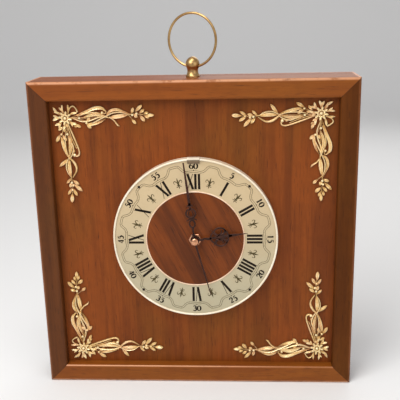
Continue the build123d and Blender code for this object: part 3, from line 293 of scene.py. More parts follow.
def hoop(centre: Flat, size: Flat, hole: Flat, hole_shift: float, crest: float, count: int = 40) -> Surface:
    """Make a flat oval loop with an oval hole.

    Inner and outer ovals are sampled at the same angles, and each angle carries a bevelled section.

    Args:
        centre: The middle of the outer oval.
        size: Its two radii.
        hole: The hole's two radii.
        hole_shift: How far the hole is to the right of the middle.
        crest: The thickness.
        count: Steps around.

    Returns:
        A surface whose points are (along, up, height).
    """
    angle = np.linspace(0, 2 * math.pi, count, endpoint=False)
    outer = np.stack([centre[0] + size[0] * np.cos(angle), centre[1] + size[1] * np.sin(angle)], axis=1)
    inner = np.stack(
        [centre[0] + hole_shift + hole[0] * np.cos(angle), centre[1] + hole[1] * np.sin(angle)], axis=1
    )
    share = np.array([0.0, 0.1, 0.9, 1.0, 1.0, 0.0])
    high = np.array([0.75, 1.0, 1.0, 0.75, 0.0, 0.0]) * crest
    flat = inner[:, None] + (outer - inner)[:, None] * share[None, :, None]
    rows = np.concatenate([flat, np.broadcast_to(high[None, :, None], (count, 6, 1))], axis=2)
    return grid_surface(rows, close_rows=True, close_columns=True)


def on_front(
    surface: Surface, plane: float, turn: float = 0.0, x: float = 0.0, z: float = CENTRE_Z
) -> Surface:
    """Stand a flat form upright, facing the viewer, turned clockwise about a point.

    Args:
        surface: Points as (along, up, height).
        plane: The Y of the plane that it lies on.
        turn: Clockwise turn in degrees, seen from the front.
        x: The X of the turning point.
        z: The Z of the turning point.

    Returns:
        The surface in the row frame.
    """
    angle = math.radians(turn)
    along, up, height = surface.points.T
    east = x + along * math.cos(angle) + up * math.sin(angle)
    north = z - along * math.sin(angle) + up * math.cos(angle)
    return Surface(np.stack([east, plane - height, north], axis=1), surface.faces)


def make_piece(
    name: str, surface: Surface, material: bpy.types.Material, crease: float = 40.0
) -> bpy.types.Object:
    """Make a mesh object at the origin, with poles closed, faces outward and creases kept.

    Args:
        name: The piece's name.
        surface: Its surface in millimetres.
        material: Its finish.
        crease: The angle in degrees above which an edge stays sharp.

    Returns:
        The object.
    """
    mesh = bpy.data.meshes.new(name)
    mesh.from_pydata((surface.points * MM).tolist(), [], surface.faces.tolist())
    shape = bmesh.new()
    shape.from_mesh(mesh)
    bmesh.ops.remove_doubles(shape, verts=shape.verts, dist=2e-7)
    bmesh.ops.dissolve_degenerate(shape, edges=shape.edges, dist=1e-8)
    bmesh.ops.recalc_face_normals(shape, faces=shape.faces)
    shape.to_mesh(mesh)
    shape.free()
    mesh.polygons.foreach_set("use_smooth", [True] * len(mesh.polygons))
    mesh.set_sharp_from_angle(angle=math.radians(crease))
    mesh.materials.append(material)
    piece = bpy.data.objects.new(name, mesh)
    bpy.context.scene.collection.objects.link(piece)
    LOG.info("%s: %d points, %d faces", name, len(mesh.vertices), len(mesh.polygons))
    return piece


def place(piece: bpy.types.Object, body: str, slot: str, *nodes: str) -> None:
    """Let a piece ride on a body and stand for some CAD nodes, which it hides.

    Args:
        piece: The piece.
        body: The body it moves with.
        slot: The material slot; not used.
        nodes: The CAD nodes that it replaces.
    """
    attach(piece, body)
    if nodes:
        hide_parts(*nodes)


# Node trees.


@dataclass
class Graph:
    """A node tree that is filled one node at a time."""

    tree: bpy.types.NodeTree

    def feed(self, socket: bpy.types.NodeSocket, value: Any) -> None:
        """Link a socket to another, or set its value.

        Args:
            socket: The input socket.
            value: An output socket, a number, a vector or a colour.
        """
        if isinstance(value, bpy.types.NodeSocket):
            self.tree.links.new(value, socket)
        elif socket.type == "RGBA":
            socket.default_value = (*value[:3], 1.0)
        else:
            socket.default_value = value

    def node(self, kind: str, inputs: dict[Any, Any] | None = None, **settings: Any) -> bpy.types.Node:
        """Add a node.

        Args:
            kind: The node's type name.
            inputs: Values or links by input name or number.
            settings: The node's own settings.

        Returns:
            The node.
        """
        made = self.tree.nodes.new(kind)
        for key, value in settings.items():
            setattr(made, key, value)
        for key, value in (inputs or {}).items():
            self.feed(made.inputs[key], value)
        return made

    def math(self, operation: str, *values: Any) -> bpy.types.NodeSocket:
        """Work out one number from one to three others."""
        return self.node("ShaderNodeMath", dict(enumerate(values)), operation=operation).outputs[0]

    def noise(self, vector: Any, scale: float, detail: float = 3.0, rough: float = 0.5,
              distortion: float = 0.0) -> bpy.types.NodeSocket:
        """Add smooth noise.

        Args:
            vector: Where it is read.
            scale: Features per unit.
            detail: Octaves.
            rough: Weight of the finer octaves.
            distortion: How far it is warped.

        Returns:
            The noise from 0 to 1.
        """
        inputs = {
            "Vector": vector, "Scale": scale, "Detail": detail, "Roughness": rough,
            "Distortion": distortion,
        }
        return self.node("ShaderNodeTexNoise", inputs).outputs[0]

    def remap(
        self, value: Any, low: float, high: float, new_low: float = 0.0, new_high: float = 1.0
    ) -> Any:
        """Map a range smoothly onto another, held at its ends."""
        inputs = {"Value": value, 1: low, 2: high, 3: new_low, 4: new_high}
        return self.node("ShaderNodeMapRange", inputs, interpolation_type="SMOOTHSTEP").outputs[0]

    def mix(self, share: Any, first: Any, second: Any, how: str = "MIX") -> bpy.types.NodeSocket:
        """Mix two colours."""
        made = self.node("ShaderNodeMix", data_type="RGBA", blend_type=how)
        for number, value in ((0, share), (6, first), (7, second)):
            self.feed(made.inputs[number], value)
        return made.outputs[2]

    def scaled(self, vector: Any, size: Sequence[float], turn: Sequence[float] = (0, 0, 0),
               shift: Sequence[float] = (0, 0, 0)) -> bpy.types.NodeSocket:
        """Turn and stretch coordinates: turned about the origin first, then scaled.

        Args:
            vector: The coordinates.
            size: Scale on each axis after the turn.
            turn: Rotation in radians.
            shift: Added at the end.

        Returns:
            The new coordinates.
        """
        turned_way = self.node("ShaderNodeMapping", {"Vector": vector, "Rotation": tuple(turn)}).outputs[0]
        return self.node(
            "ShaderNodeMapping", {"Vector": turned_way, "Scale": tuple(size), "Location": tuple(shift)}
        ).outputs[0]

    def group(self, tree: bpy.types.NodeTree, **inputs: Any) -> bpy.types.Node:
        """Place a shared group with its own values, named with underscores for spaces."""
        made = self.node("ShaderNodeGroup", node_tree=tree)
        for key, value in inputs.items():
            self.feed(made.inputs[key.replace("_", " ")], value)
        return made


def new_group(
    name: str, inputs: dict[str, tuple[str, Any]], outputs: dict[str, str]
) -> tuple[Graph, Any, Any]:
    """Start a shared node group.

    Args:
        name: Its name.
        inputs: Socket kind and default by name.
        outputs: Socket kind by name.

    Returns:
        The graph, its input node and its output node.
    """
    tree = bpy.data.node_groups.new(name, "ShaderNodeTree")
    for label, (kind, value) in inputs.items():
        socket = tree.interface.new_socket(name=label, in_out="INPUT", socket_type="NodeSocket" + kind)
        if kind == "Color":
            socket.default_value = (*value[:3], 1.0)
        elif kind == "Float":
            socket.default_value = value
    for label, kind in outputs.items():
        tree.interface.new_socket(name=label, in_out="OUTPUT", socket_type="NodeSocket" + kind)
    graph = Graph(tree)
    return graph, graph.node("NodeGroupInput").outputs, graph.node("NodeGroupOutput").inputs


def wood_figure_group() -> bpy.types.NodeTree:
    """Wood whose grain runs along the third coordinate.

    Broad streaks, wavy annual lines, fine fibres and short dark pores, each a noise stretched along it.

    Returns:
        The node group.
    """
    graph, source, result = new_group(
        "wood_figure",
        {
            "Vector": ("Vector", None),
            "Light": ("Color", (0.3, 0.1, 0.04)),
            "Dark": ("Color", (0.1, 0.03, 0.01)),
            "Warm": ("Color", (0.3, 0.12, 0.03)),
            "Streak": ("Float", 0.6),
            "Lines": ("Float", 0.35),
            "Pores": ("Float", 0.5),
        },
        {"Color": "Color", "Height": "Float", "Sheen": "Float"},
    )
    bend = graph.noise(graph.scaled(source["Vector"], (6, 6, 2.6)), 1.0, 2)
    aside = graph.math("MULTIPLY", bend, 0.012)
    inward = graph.math("MULTIPLY", bend, 0.09)
    shift = graph.node("ShaderNodeCombineXYZ", {0: aside, 1: inward}).outputs[0]
    wavy = graph.node("ShaderNodeVectorMath", {0: source["Vector"], 1: shift}, operation="ADD").outputs[0]
    broad = graph.noise(graph.scaled(wavy, (95, 75, 3.0)), 1.0, 3, 0.5, 0.12)
    patch = graph.noise(graph.scaled(source["Vector"], (14, 8, 7)), 1.0, 2)
    rings = graph.noise(graph.scaled(wavy, (290, 230, 5.0)), 1.0, 3, 0.5, 0.08)
    fibre = graph.noise(graph.scaled(wavy, (950, 800, 24)), 1.0, 3, 0.6)
    pore = graph.noise(graph.scaled(source["Vector"], (1500, 1500, 70)), 1.0, 1)
    depth = graph.math("MULTIPLY", graph.remap(broad, 0.38, 0.64), source["Streak"])
    colour = graph.mix(depth, source["Light"], source["Dark"])
    colour = graph.mix(graph.math("MULTIPLY", graph.remap(patch, 0.42, 0.68), 0.55), colour, source["Warm"])
    lines = graph.math("MULTIPLY", graph.remap(rings, 0.5, 0.68), source["Lines"])
    colour = graph.mix(lines, colour, source["Dark"])
    colour = graph.mix(graph.remap(fibre, 0.3, 0.7, 0.0, 0.22), colour, source["Dark"])
    holes = graph.math("MULTIPLY", graph.remap(pore, 0.66, 0.72), source["Pores"])
    colour = graph.mix(holes, colour, (0.02, 0.008, 0.004))
    graph.feed(result["Color"], colour)
    high = graph.math("SUBTRACT", graph.math("MULTIPLY", fibre, 0.35), graph.math("MULTIPLY", holes, 0.6))
    graph.feed(result["Height"], graph.math("ADD", high, 0.6))
    graph.feed(
        result["Sheen"],
        graph.math("ADD", graph.math("MULTIPLY", broad, 0.16), graph.remap(fibre, 0, 1, 0, 0.1)),
    )
    return graph.tree


def edge_highlight_and_wear_group() -> bpy.types.NodeTree:
    """Mask that is 1 on the long edges of a box and breaks up between them: edge wear and a painted
    highlight.

    Half sizes less the distance from the middle give the depth under each pair of faces, and an edge is
    where the two smallest depths are both small.

    Returns:
        The node group.
    """
    graph, source, result = new_group(
        "edge_wear",
        {
            "Vector": ("Vector", None), "Middle": ("Vector", None), "Half": ("Vector", None),
            "Reach": ("Float", 0.002),
        },
        {"Mask": "Float"},
    )
    away = graph.node(
        "ShaderNodeVectorMath", {0: source["Vector"], 1: source["Middle"]}, operation="SUBTRACT"
    )
    size = graph.node("ShaderNodeVectorMath", {0: away.outputs[0]}, operation="ABSOLUTE")
    deep = graph.node("ShaderNodeVectorMath", {0: source["Half"], 1: size.outputs[0]}, operation="SUBTRACT")
    x, y, z = graph.node("ShaderNodeSeparateXYZ", {0: deep.outputs[0]}).outputs
    least = graph.math("MINIMUM", graph.math("MINIMUM", x, y), z)
    most = graph.math("MAXIMUM", graph.math("MAXIMUM", x, y), z)
    middle = graph.math(
        "SUBTRACT", graph.math("SUBTRACT", graph.math("ADD", graph.math("ADD", x, y), z), least), most
    )
    near = graph.math(
        "SUBTRACT", 1.0, graph.math("DIVIDE", graph.math("ADD", middle, least), source["Reach"])
    )
    broken = graph.noise(source["Vector"], 130.0, 4, 0.65)
    graph.feed(
        result["Mask"],
        graph.math("MULTIPLY", graph.remap(near, 0.2, 0.55), graph.remap(broken, 0.3, 0.5, 0.35, 1.0)),
    )
    return graph.tree


def gilt_patina_and_shading_group() -> bpy.types.NodeTree:
    """Masks of an old gilt casting: dark in its hollows with patina and painted shade, bright on its high
    points with rubbed wear and a painted highlight.

    The height over the board gives how exposed a place is, broken up by noise.

    Returns:
        The node group.
    """
    graph, source, result = new_group(
        "cast_patina", {"Vector": ("Vector", None), "Height": ("Float", 0.0)},
        {"Hollow": "Float", "Rubbed": "Float", "Grain": "Float"},
    )
    cloud = graph.noise(source["Vector"], 420.0, 4, 0.6)
    grain = graph.noise(source["Vector"], 2600.0, 3, 0.6)
    moved = graph.math("ADD", source["Height"], graph.remap(cloud, 0, 1, -0.0007, 0.0007))
    # Low parts get patina and painted shade, high parts rubbed wear and a painted highlight.
    graph.feed(result["Hollow"], graph.remap(moved, 0.0004, 0.0021, 1.0, 0.0))
    graph.feed(result["Rubbed"], graph.remap(moved, 0.0015, 0.0028))
    graph.feed(result["Grain"], grain)
    return graph.tree


def handling_group() -> bpy.types.NodeTree:
    """Marks of use on any surface: cloudy soiling, fine scratches and a grain of its own scale.

    Returns:
        The node group.
    """
    graph, source, result = new_group(
        "handling", {"Vector": ("Vector", None), "Grain Scale": ("Float", 1500.0)},
        {"Soil": "Float", "Scratch": "Float", "Grain": "Float"},
    )
    cloud = graph.noise(source["Vector"], 55.0, 5, 0.62, 0.4)
    fleck = graph.noise(source["Vector"], 700.0, 2, 0.5)
    hair = graph.noise(graph.scaled(source["Vector"], (3200, 500, 160), (0.4, 0.7, 0.5)), 1.0, 2)
    hair_two = graph.noise(graph.scaled(source["Vector"], (180, 700, 2900), (0.1, -0.5, 0.9)), 1.0, 2)
    grain = graph.node(
        "ShaderNodeTexNoise", {"Vector": source["Vector"], "Scale": source["Grain Scale"], "Detail": 3.0}
    )
    graph.feed(
        result["Soil"],
        graph.math("MULTIPLY", graph.remap(cloud, 0.44, 0.7), graph.remap(fleck, 0.2, 0.8, 0.6, 1)),
    )
    scratch = graph.math("MAXIMUM", graph.remap(hair, 0.63, 0.7), graph.remap(hair_two, 0.64, 0.7))
    graph.feed(result["Scratch"], scratch)
    graph.feed(result["Grain"], grain.outputs[0])
    return graph.tree


@dataclass
class SharedGroups:
    """The node groups that the finishes share, built once."""

    wood: bpy.types.NodeTree
    edge: bpy.types.NodeTree
    patina: bpy.types.NodeTree
    handling: bpy.types.NodeTree


SHARED = SharedGroups(wood_figure_group(), edge_highlight_and_wear_group(), gilt_patina_and_shading_group(), handling_group())


# Finishes.


@dataclass(frozen=True)
class Finish:
    """A finish with a name, a base colour and how it shines."""

    name: str
    colour: Colour
    second: Colour
    metallic: float = 0.0
    roughness: float = 0.5
    coat: float = 0.0
    bump: float = 0.04
    specular: float = 0.5

    def build(self) -> bpy.types.Material:
        """Make the material.

        Returns:
            The material, with its nodes in place.
        """
        material = bpy.data.materials.new(self.name)
        material.use_nodes = True
        material.node_tree.nodes.clear()
        graph = Graph(material.node_tree)
        here = graph.node("ShaderNodeTexCoord").outputs["Object"]
        shader = graph.node(
            "ShaderNodeBsdfPrincipled", {"Metallic": self.metallic, "Coat Weight": self.coat}
        )
        shader.inputs["Coat Roughness"].default_value = 0.22
        shader.inputs["Specular IOR Level"].default_value = self.specular
        colour, rough, height = self.paint(graph, here, shader)
        graph.feed(shader.inputs["Base Color"], colour)
        graph.feed(shader.inputs["Roughness"], rough)
        relief = graph.node(
            "ShaderNodeBump", {"Height": height, "Distance": self.bump * MM, "Strength": 1.0}
        )
        graph.feed(shader.inputs["Normal"], relief.outputs[0])
        graph.node("ShaderNodeOutputMaterial", {"Surface": shader.outputs[0]})
        return material

    def paint(self, graph: Graph, here: Any, shader: bpy.types.Node) -> tuple[Any, Any, Any]:
        """Give the colour, roughness and height of the surface. Each kind of finish has its own.

        Args:
            graph: The material's graph.
            here: Object coordinates.
            shader: The principled shader.

        Returns:
            Colour, roughness and height.
        """
        marks = graph.group(SHARED.handling, Vector=here)
        return self.colour, self.roughness, marks.outputs["Grain"]


@dataclass(frozen=True)
class Stock(Finish):
    """Plain stock such as plastic, steel, rubber or board: mottled, soiled and finely scratched."""

    grain: float = 1500.0
    soil: float = 0.35
    scratch: float = 0.4
    mottle: float = 40.0

    def paint(self, graph: Graph, here: Any, shader: bpy.types.Node) -> tuple[Any, Any, Any]:
        """Mottle between the two colours, darken the soil, and lift or dull the scratches.

        Args:
            graph: The material's graph.
            here: Object coordinates.
            shader: The principled shader.

        Returns:
            Colour, roughness and height.
        """
        marks = graph.group(SHARED.handling, Vector=here, Grain_Scale=self.grain)
        cloud = graph.remap(graph.noise(here, self.mottle, 4, 0.6), 0.35, 0.68)
        colour = graph.mix(cloud, self.colour, self.second)
        dirt = graph.math("MULTIPLY", marks.outputs["Soil"], self.soil)
        colour = graph.mix(dirt, colour, tuple(0.35 * value for value in self.second))
        hair = graph.math("MULTIPLY", marks.outputs["Scratch"], self.scratch)
        colour = graph.mix(
            graph.math("MULTIPLY", hair, 0.4), colour, tuple(min(1, 1.7 * v) for v in self.colour)
        )
        spread = graph.math("ADD", graph.remap(marks.outputs["Grain"], 0, 1, -0.05, 0.06), self.roughness)
        rough = graph.math(
            "ADD",
            graph.math("MULTIPLY", dirt, 0.25),
            graph.math("ADD", spread, graph.math("MULTIPLY", hair, 0.12)),
        )
        height = graph.math("SUBTRACT", marks.outputs["Grain"], graph.math("MULTIPLY", hair, 0.5))
        return colour, rough, height


@dataclass(frozen=True)
class Wood(Finish):
    """A board with its grain one way, stained and rubbed with a satin finish."""

    warm: Colour = (0.3, 0.12, 0.03)
    grain: Grain = Grain.ALONG_Z
    seed: float = 0.0
    fineness: float = 1.0
    streak: float = 0.45
    lines: float = 0.24
    pores: float = 0.5
    # The edges' colour: edge wear and a painted highlight on the rounded edges.
    edge: Colour | None = None
    middle: tuple[float, float, float] = (0.0, 0.0, CENTRE_Z)
    half: tuple[float, float, float] = (152.5, 25.5, 152.5)
    mitred: bool = False
    # Share of a painted highlight along the rail's front edge beside the panel.
    lip: float = 0.0
    raw: Colour | None = None
    raw_from: float = -9.6
    raw_half: float = 139.6

    def paint(self, graph: Graph, here: Any, shader: bpy.types.Node) -> tuple[Any, Any, Any]:
        """Lay the wood's figure, pale its edges with wear and painted highlights, and darken its mitres.

        Args:
            graph: The material's graph.
            here: Object coordinates.
            shader: The principled shader.

        Returns:
            Colour, roughness and height.
        """
        size = (self.fineness, self.fineness, self.fineness)
        way = graph.scaled(here, size, self.grain.value, (self.seed, 0.37 * self.seed, 0.71 * self.seed))
        figure = graph.group(SHARED.wood, Vector=way, Light=self.colour, Dark=self.second, Warm=self.warm,
                             Streak=self.streak, Lines=self.lines, Pores=self.pores)
        colour = figure.outputs["Color"]
        rough = graph.math("ADD", figure.outputs["Sheen"], self.roughness)
        marks = graph.group(SHARED.handling, Vector=here, Grain_Scale=900.0)
        # Pale the edges towards the edge colour: partly edge wear, partly a painted highlight.
        if self.edge is not None:
            wear_and_highlight = graph.group(SHARED.edge, Vector=here, Middle=tuple(MM * v for v in self.middle),
                               Half=tuple(MM * v for v in self.half), Reach=0.0035).outputs["Mask"]
            colour = graph.mix(graph.math("MULTIPLY", wear_and_highlight, 0.7), colour, self.edge)
            rough = graph.math("SUBTRACT", rough, graph.math("MULTIPLY", wear_and_highlight, 0.08))
        if self.mitred:
            x, _, z = graph.node("ShaderNodeSeparateXYZ", {0: here}).outputs
            rise = graph.math("ABSOLUTE", graph.math("SUBTRACT", z, CENTRE_Z * MM))
            gap = graph.math("ABSOLUTE", graph.math("SUBTRACT", graph.math("ABSOLUTE", x), rise))
            seam = graph.remap(gap, 0.00008, 0.00045, 1.0, 0.0)
            colour = graph.mix(graph.math("MULTIPLY", seam, 0.85), colour, srgb(38, 18, 10))
        # Paint a highlight along the rail's front edge beside the panel.
        if self.lip:
            colour = graph.mix(
                graph.math("MULTIPLY", self.lip_highlight(graph, here), self.lip), colour, self.edge
            )
        if self.raw is not None:
            bare = self.bare(graph, here)
            colour = graph.mix(graph.math("MULTIPLY", bare, 0.62), colour, self.raw)
            rough = graph.math("ADD", rough, graph.math("MULTIPLY", bare, 0.25))
        colour = graph.mix(
            graph.math("MULTIPLY", marks.outputs["Soil"], 0.16),
            colour,
            tuple(0.45 * v for v in self.second),
        )
        rough = graph.math("ADD", rough, graph.math("MULTIPLY", marks.outputs["Scratch"], 0.06))
        return colour, rough, figure.outputs["Height"]

    def lip_highlight(self, graph: Graph, here: Any) -> Any:
        """Mark a painted highlight along the front edge of the rail beside the panel, strongest at the left.

        Args:
            graph: The material's graph.
            here: Object coordinates.

        Returns:
            The mask.
        """
        x, y, z = graph.node("ShaderNodeSeparateXYZ", {0: here}).outputs
        rise = graph.math("ABSOLUTE", graph.math("SUBTRACT", z, CENTRE_Z * MM))
        near = graph.remap(rise, 134.9 * MM, 136.4 * MM, 1.0, 0.0)
        front = graph.math("LESS_THAN", y, -24.4 * MM)
        fade = graph.remap(x, -20.0 * MM, 110.0 * MM, 1.0, 0.3)
        return graph.math("MULTIPLY", graph.math("MULTIPLY", near, front), fade)

    def bare(self, graph: Graph, here: Any) -> Any:
        """Mark the unfinished wood inside the case: behind a depth and within a square.

        Args:
            graph: The material's graph.
            here: Object coordinates.

        Returns:
            The mask.
        """
        x, y, z = graph.node("ShaderNodeSeparateXYZ", {0: here}).outputs
        side = graph.math("LESS_THAN", graph.math("ABSOLUTE", x), self.raw_half * MM)
        rise = graph.math("ABSOLUTE", graph.math("SUBTRACT", z, CENTRE_Z * MM))
        within = graph.math("MULTIPLY", side, graph.math("LESS_THAN", rise, self.raw_half * MM))
        return graph.math("MULTIPLY", within, graph.math("GREATER_THAN", y, self.raw_from * MM))


@dataclass(frozen=True)
class GiltCasting(Finish):
    """Antique gold on a casting: brown in the hollows with patina and painted shade, pale on the high points
    with wear and a painted highlight.
    """

    # The pale colour of the high points: rubbed wear and a painted highlight.
    rubbed: Colour = (0.9, 0.6, 0.25)

    def paint(self, graph: Graph, here: Any, shader: bpy.types.Node) -> tuple[Any, Any, Any]:
        """Colour the casting by its height over the board.

        Args:
            graph: The material's graph.
            here: Object coordinates.
            shader: The principled shader.

        Returns:
            Colour, roughness and height.
        """
        deep = graph.math(
            "SUBTRACT", PANEL_FRONT * MM, graph.node("ShaderNodeSeparateXYZ", {0: here}).outputs[1]
        )
        patina = graph.group(SHARED.patina, Vector=here, Height=deep)
        blush = graph.remap(graph.noise(here, 60.0, 2), 0.4, 0.65)
        colour = graph.mix(graph.math("MULTIPLY", blush, 0.5), self.colour, srgb(238, 182, 146))
        # Pale the high parts and darken the low ones: wear and patina, with painted highlight and painted
        # shade.
        colour = graph.mix(graph.math("MULTIPLY", patina.outputs["Rubbed"], 0.75), colour, self.rubbed)
        colour = graph.mix(graph.math("MULTIPLY", patina.outputs["Hollow"], 0.9), colour, self.second)
        rough = graph.math("ADD", graph.math("MULTIPLY", patina.outputs["Hollow"], 0.3), self.roughness)
        rough = graph.math("SUBTRACT", rough, graph.math("MULTIPLY", patina.outputs["Rubbed"], 0.08))
        return colour, rough, patina.outputs["Grain"]


@dataclass(frozen=True)
class PrintedRing(Finish):
    """The chapter ring's cream enamel: warmer at the top, greyer at the bottom, a little foxed."""

    def paint(self, graph: Graph, here: Any, shader: bpy.types.Node) -> tuple[Any, Any, Any]:
        """Shade the cream by height on the dial, with a faint cloud and specks.

        Args:
            graph: The material's graph.
            here: Object coordinates.
            shader: The principled shader.

        Returns:
            Colour, roughness and height.
        """
        up = graph.node("ShaderNodeSeparateXYZ", {0: here}).outputs[2]
        fall = graph.remap(up, (CENTRE_Z - 70) * MM, (CENTRE_Z + 55) * MM, 1.0, 0.0)
        marks = graph.group(SHARED.handling, Vector=here, Grain_Scale=1100.0)
        colour = graph.mix(graph.math("MULTIPLY", fall, 0.7), self.colour, self.second)
        colour = graph.mix(graph.math("MULTIPLY", marks.outputs["Soil"], 0.22), colour, srgb(176, 150, 104))
        fox = graph.remap(graph.noise(here, 520.0, 2), 0.70, 0.77)
        colour = graph.mix(graph.math("MULTIPLY", fox, 0.35), colour, srgb(150, 112, 66))
        rough = graph.math("ADD", graph.remap(marks.outputs["Grain"], 0, 1, -0.03, 0.06), self.roughness)
        return colour, rough, marks.outputs["Grain"]


@dataclass(frozen=True)
class Banded(Finish):
    """Stock made of fine layers or turns, such as a copper winding or a pile of laminations."""

    bands: tuple[float, float, float] = (0.0, 1.0, 0.0)
    pitch: float = 0.25

    def paint(self, graph: Graph, here: Any, shader: bpy.types.Node) -> tuple[Any, Any, Any]:
        """Rule the surface with lines across one direction.

        Args:
            graph: The material's graph.
            here: Object coordinates.
            shader: The principled shader.

        Returns:
            Colour, roughness and height.
        """
        along = graph.node(
            "ShaderNodeVectorMath", {0: here, 1: self.bands}, operation="DOT_PRODUCT"
        ).outputs["Value"]
        wave = graph.math("SINE", graph.math("MULTIPLY", along, 2 * math.pi / (self.pitch * MM)))
        marks = graph.group(SHARED.handling, Vector=here)
        line = graph.remap(
            graph.math("ADD", wave, graph.remap(marks.outputs["Grain"], 0, 1, -0.4, 0.4)), -0.9, 0.2, 1, 0
        )
        colour = graph.mix(line, self.colour, self.second)
        colour = graph.mix(graph.math("MULTIPLY", marks.outputs["Soil"], 0.3), colour, self.second)
        rough = graph.math("ADD", graph.math("MULTIPLY", line, 0.15), self.roughness)
        return colour, rough, graph.math("SUBTRACT", 1.0, line)


@dataclass(frozen=True)
class ClipLitAndShaded(Finish):
    """The dial clip: cream on top as a painted highlight, brown and half metallic below as painted shade on
    its front.
    """

    # Height above which the clip turns cream: the painted highlight on its top.
    above: float = CENTRE_Z + 78.5

    def paint(self, graph: Graph, here: Any, shader: bpy.types.Node) -> tuple[Any, Any, Any]:
        """Change from painted shade below to a painted highlight above a height.

        Args:
            graph: The material's graph.
            here: Object coordinates.
            shader: The principled shader.

        Returns:
            Colour, roughness and height.
        """
        z = graph.node("ShaderNodeSeparateXYZ", {0: here}).outputs[2]
        marks = graph.group(SHARED.handling, Vector=here, Grain_Scale=1800.0)
        edge = graph.math("ADD", z, graph.remap(marks.outputs["Grain"], 0, 1, -0.0001, 0.0001))
        # Cream above the height is a painted highlight on the top; brown below is painted shade on the front.
        enamel = graph.remap(edge, (self.above - 0.1) * MM, (self.above + 0.1) * MM)
        colour = graph.mix(enamel, self.colour, self.second)
        colour = graph.mix(graph.math("MULTIPLY", marks.outputs["Soil"], 0.35), colour, srgb(120, 98, 76))
        graph.feed(
            shader.inputs["Metallic"], graph.math("MULTIPLY", graph.math("SUBTRACT", 1.0, enamel), 0.5)
        )
        rough = graph.math("ADD", graph.math("MULTIPLY", marks.outputs["Scratch"], 0.15), self.roughness)
        return colour, rough, marks.outputs["Grain"]


@dataclass(frozen=True)
class CellJacket(Finish):
    """A plain battery jacket: copper-coloured at the positive end, dark for the rest, bare at both ends."""

    start: float = -26.1
    end: float = 24.4

    def paint(self, graph: Graph, here: Any, shader: bpy.types.Node) -> tuple[Any, Any, Any]:
        """Band the jacket along X.

        Args:
            graph: The material's graph.
            here: Object coordinates.
            shader: The principled shader.

        Returns:
            Colour, roughness and height.
        """
        x = graph.node("ShaderNodeSeparateXYZ", {0: here}).outputs[0]
        marks = graph.group(SHARED.handling, Vector=here, Grain_Scale=1300.0)
        copper = graph.math("LESS_THAN", x, (self.start + 15) * MM)
        steel = graph.math("MAXIMUM", graph.math("LESS_THAN", x, (self.start + 2.2) * MM),
                           graph.math("GREATER_THAN", x, (self.end - 0.9) * MM))
        colour = graph.mix(copper, self.colour, self.second)
        colour = graph.mix(steel, colour, srgb(186, 184, 180))
        colour = graph.mix(
            graph.math("MULTIPLY", marks.outputs["Scratch"], 0.25), colour, srgb(200, 196, 190)
        )
        graph.feed(
            shader.inputs["Metallic"], graph.math("MAXIMUM", graph.math("MULTIPLY", copper, 0.6), steel)
        )
        rough = graph.math("ADD", graph.math("MULTIPLY", marks.outputs["Soil"], 0.2), self.roughness)
        return colour, rough, marks.outputs["Grain"]


WALNUT_LIGHT = srgb(140, 73, 20)
WALNUT_DARK = srgb(108, 50, 13)
WALNUT_WARM = srgb(138, 79, 20)
# Edge colours: edge wear and a painted highlight on the rails' rounded edges.
WALNUT_EDGE_HIGHLIGHT = srgb(226, 164, 122)
STILE_EDGE_HIGHLIGHT = srgb(150, 92, 56)
# The side rails' walnut tones are darker than the top and bottom rails': painted shade on the sides.
SHADED_STILE_LIGHT = srgb(98, 52, 16)
SHADED_STILE_DARK = srgb(68, 33, 10)
SHADED_STILE_WARM = srgb(96, 57, 18)
VENEER_LIGHT = srgb(136, 67, 19)
VENEER_DARK = srgb(92, 42, 11)
VENEER_WARM = srgb(118, 71, 18)
RAW_WALNUT = srgb(138, 100, 70)
STEEL = srgb(176, 174, 168)


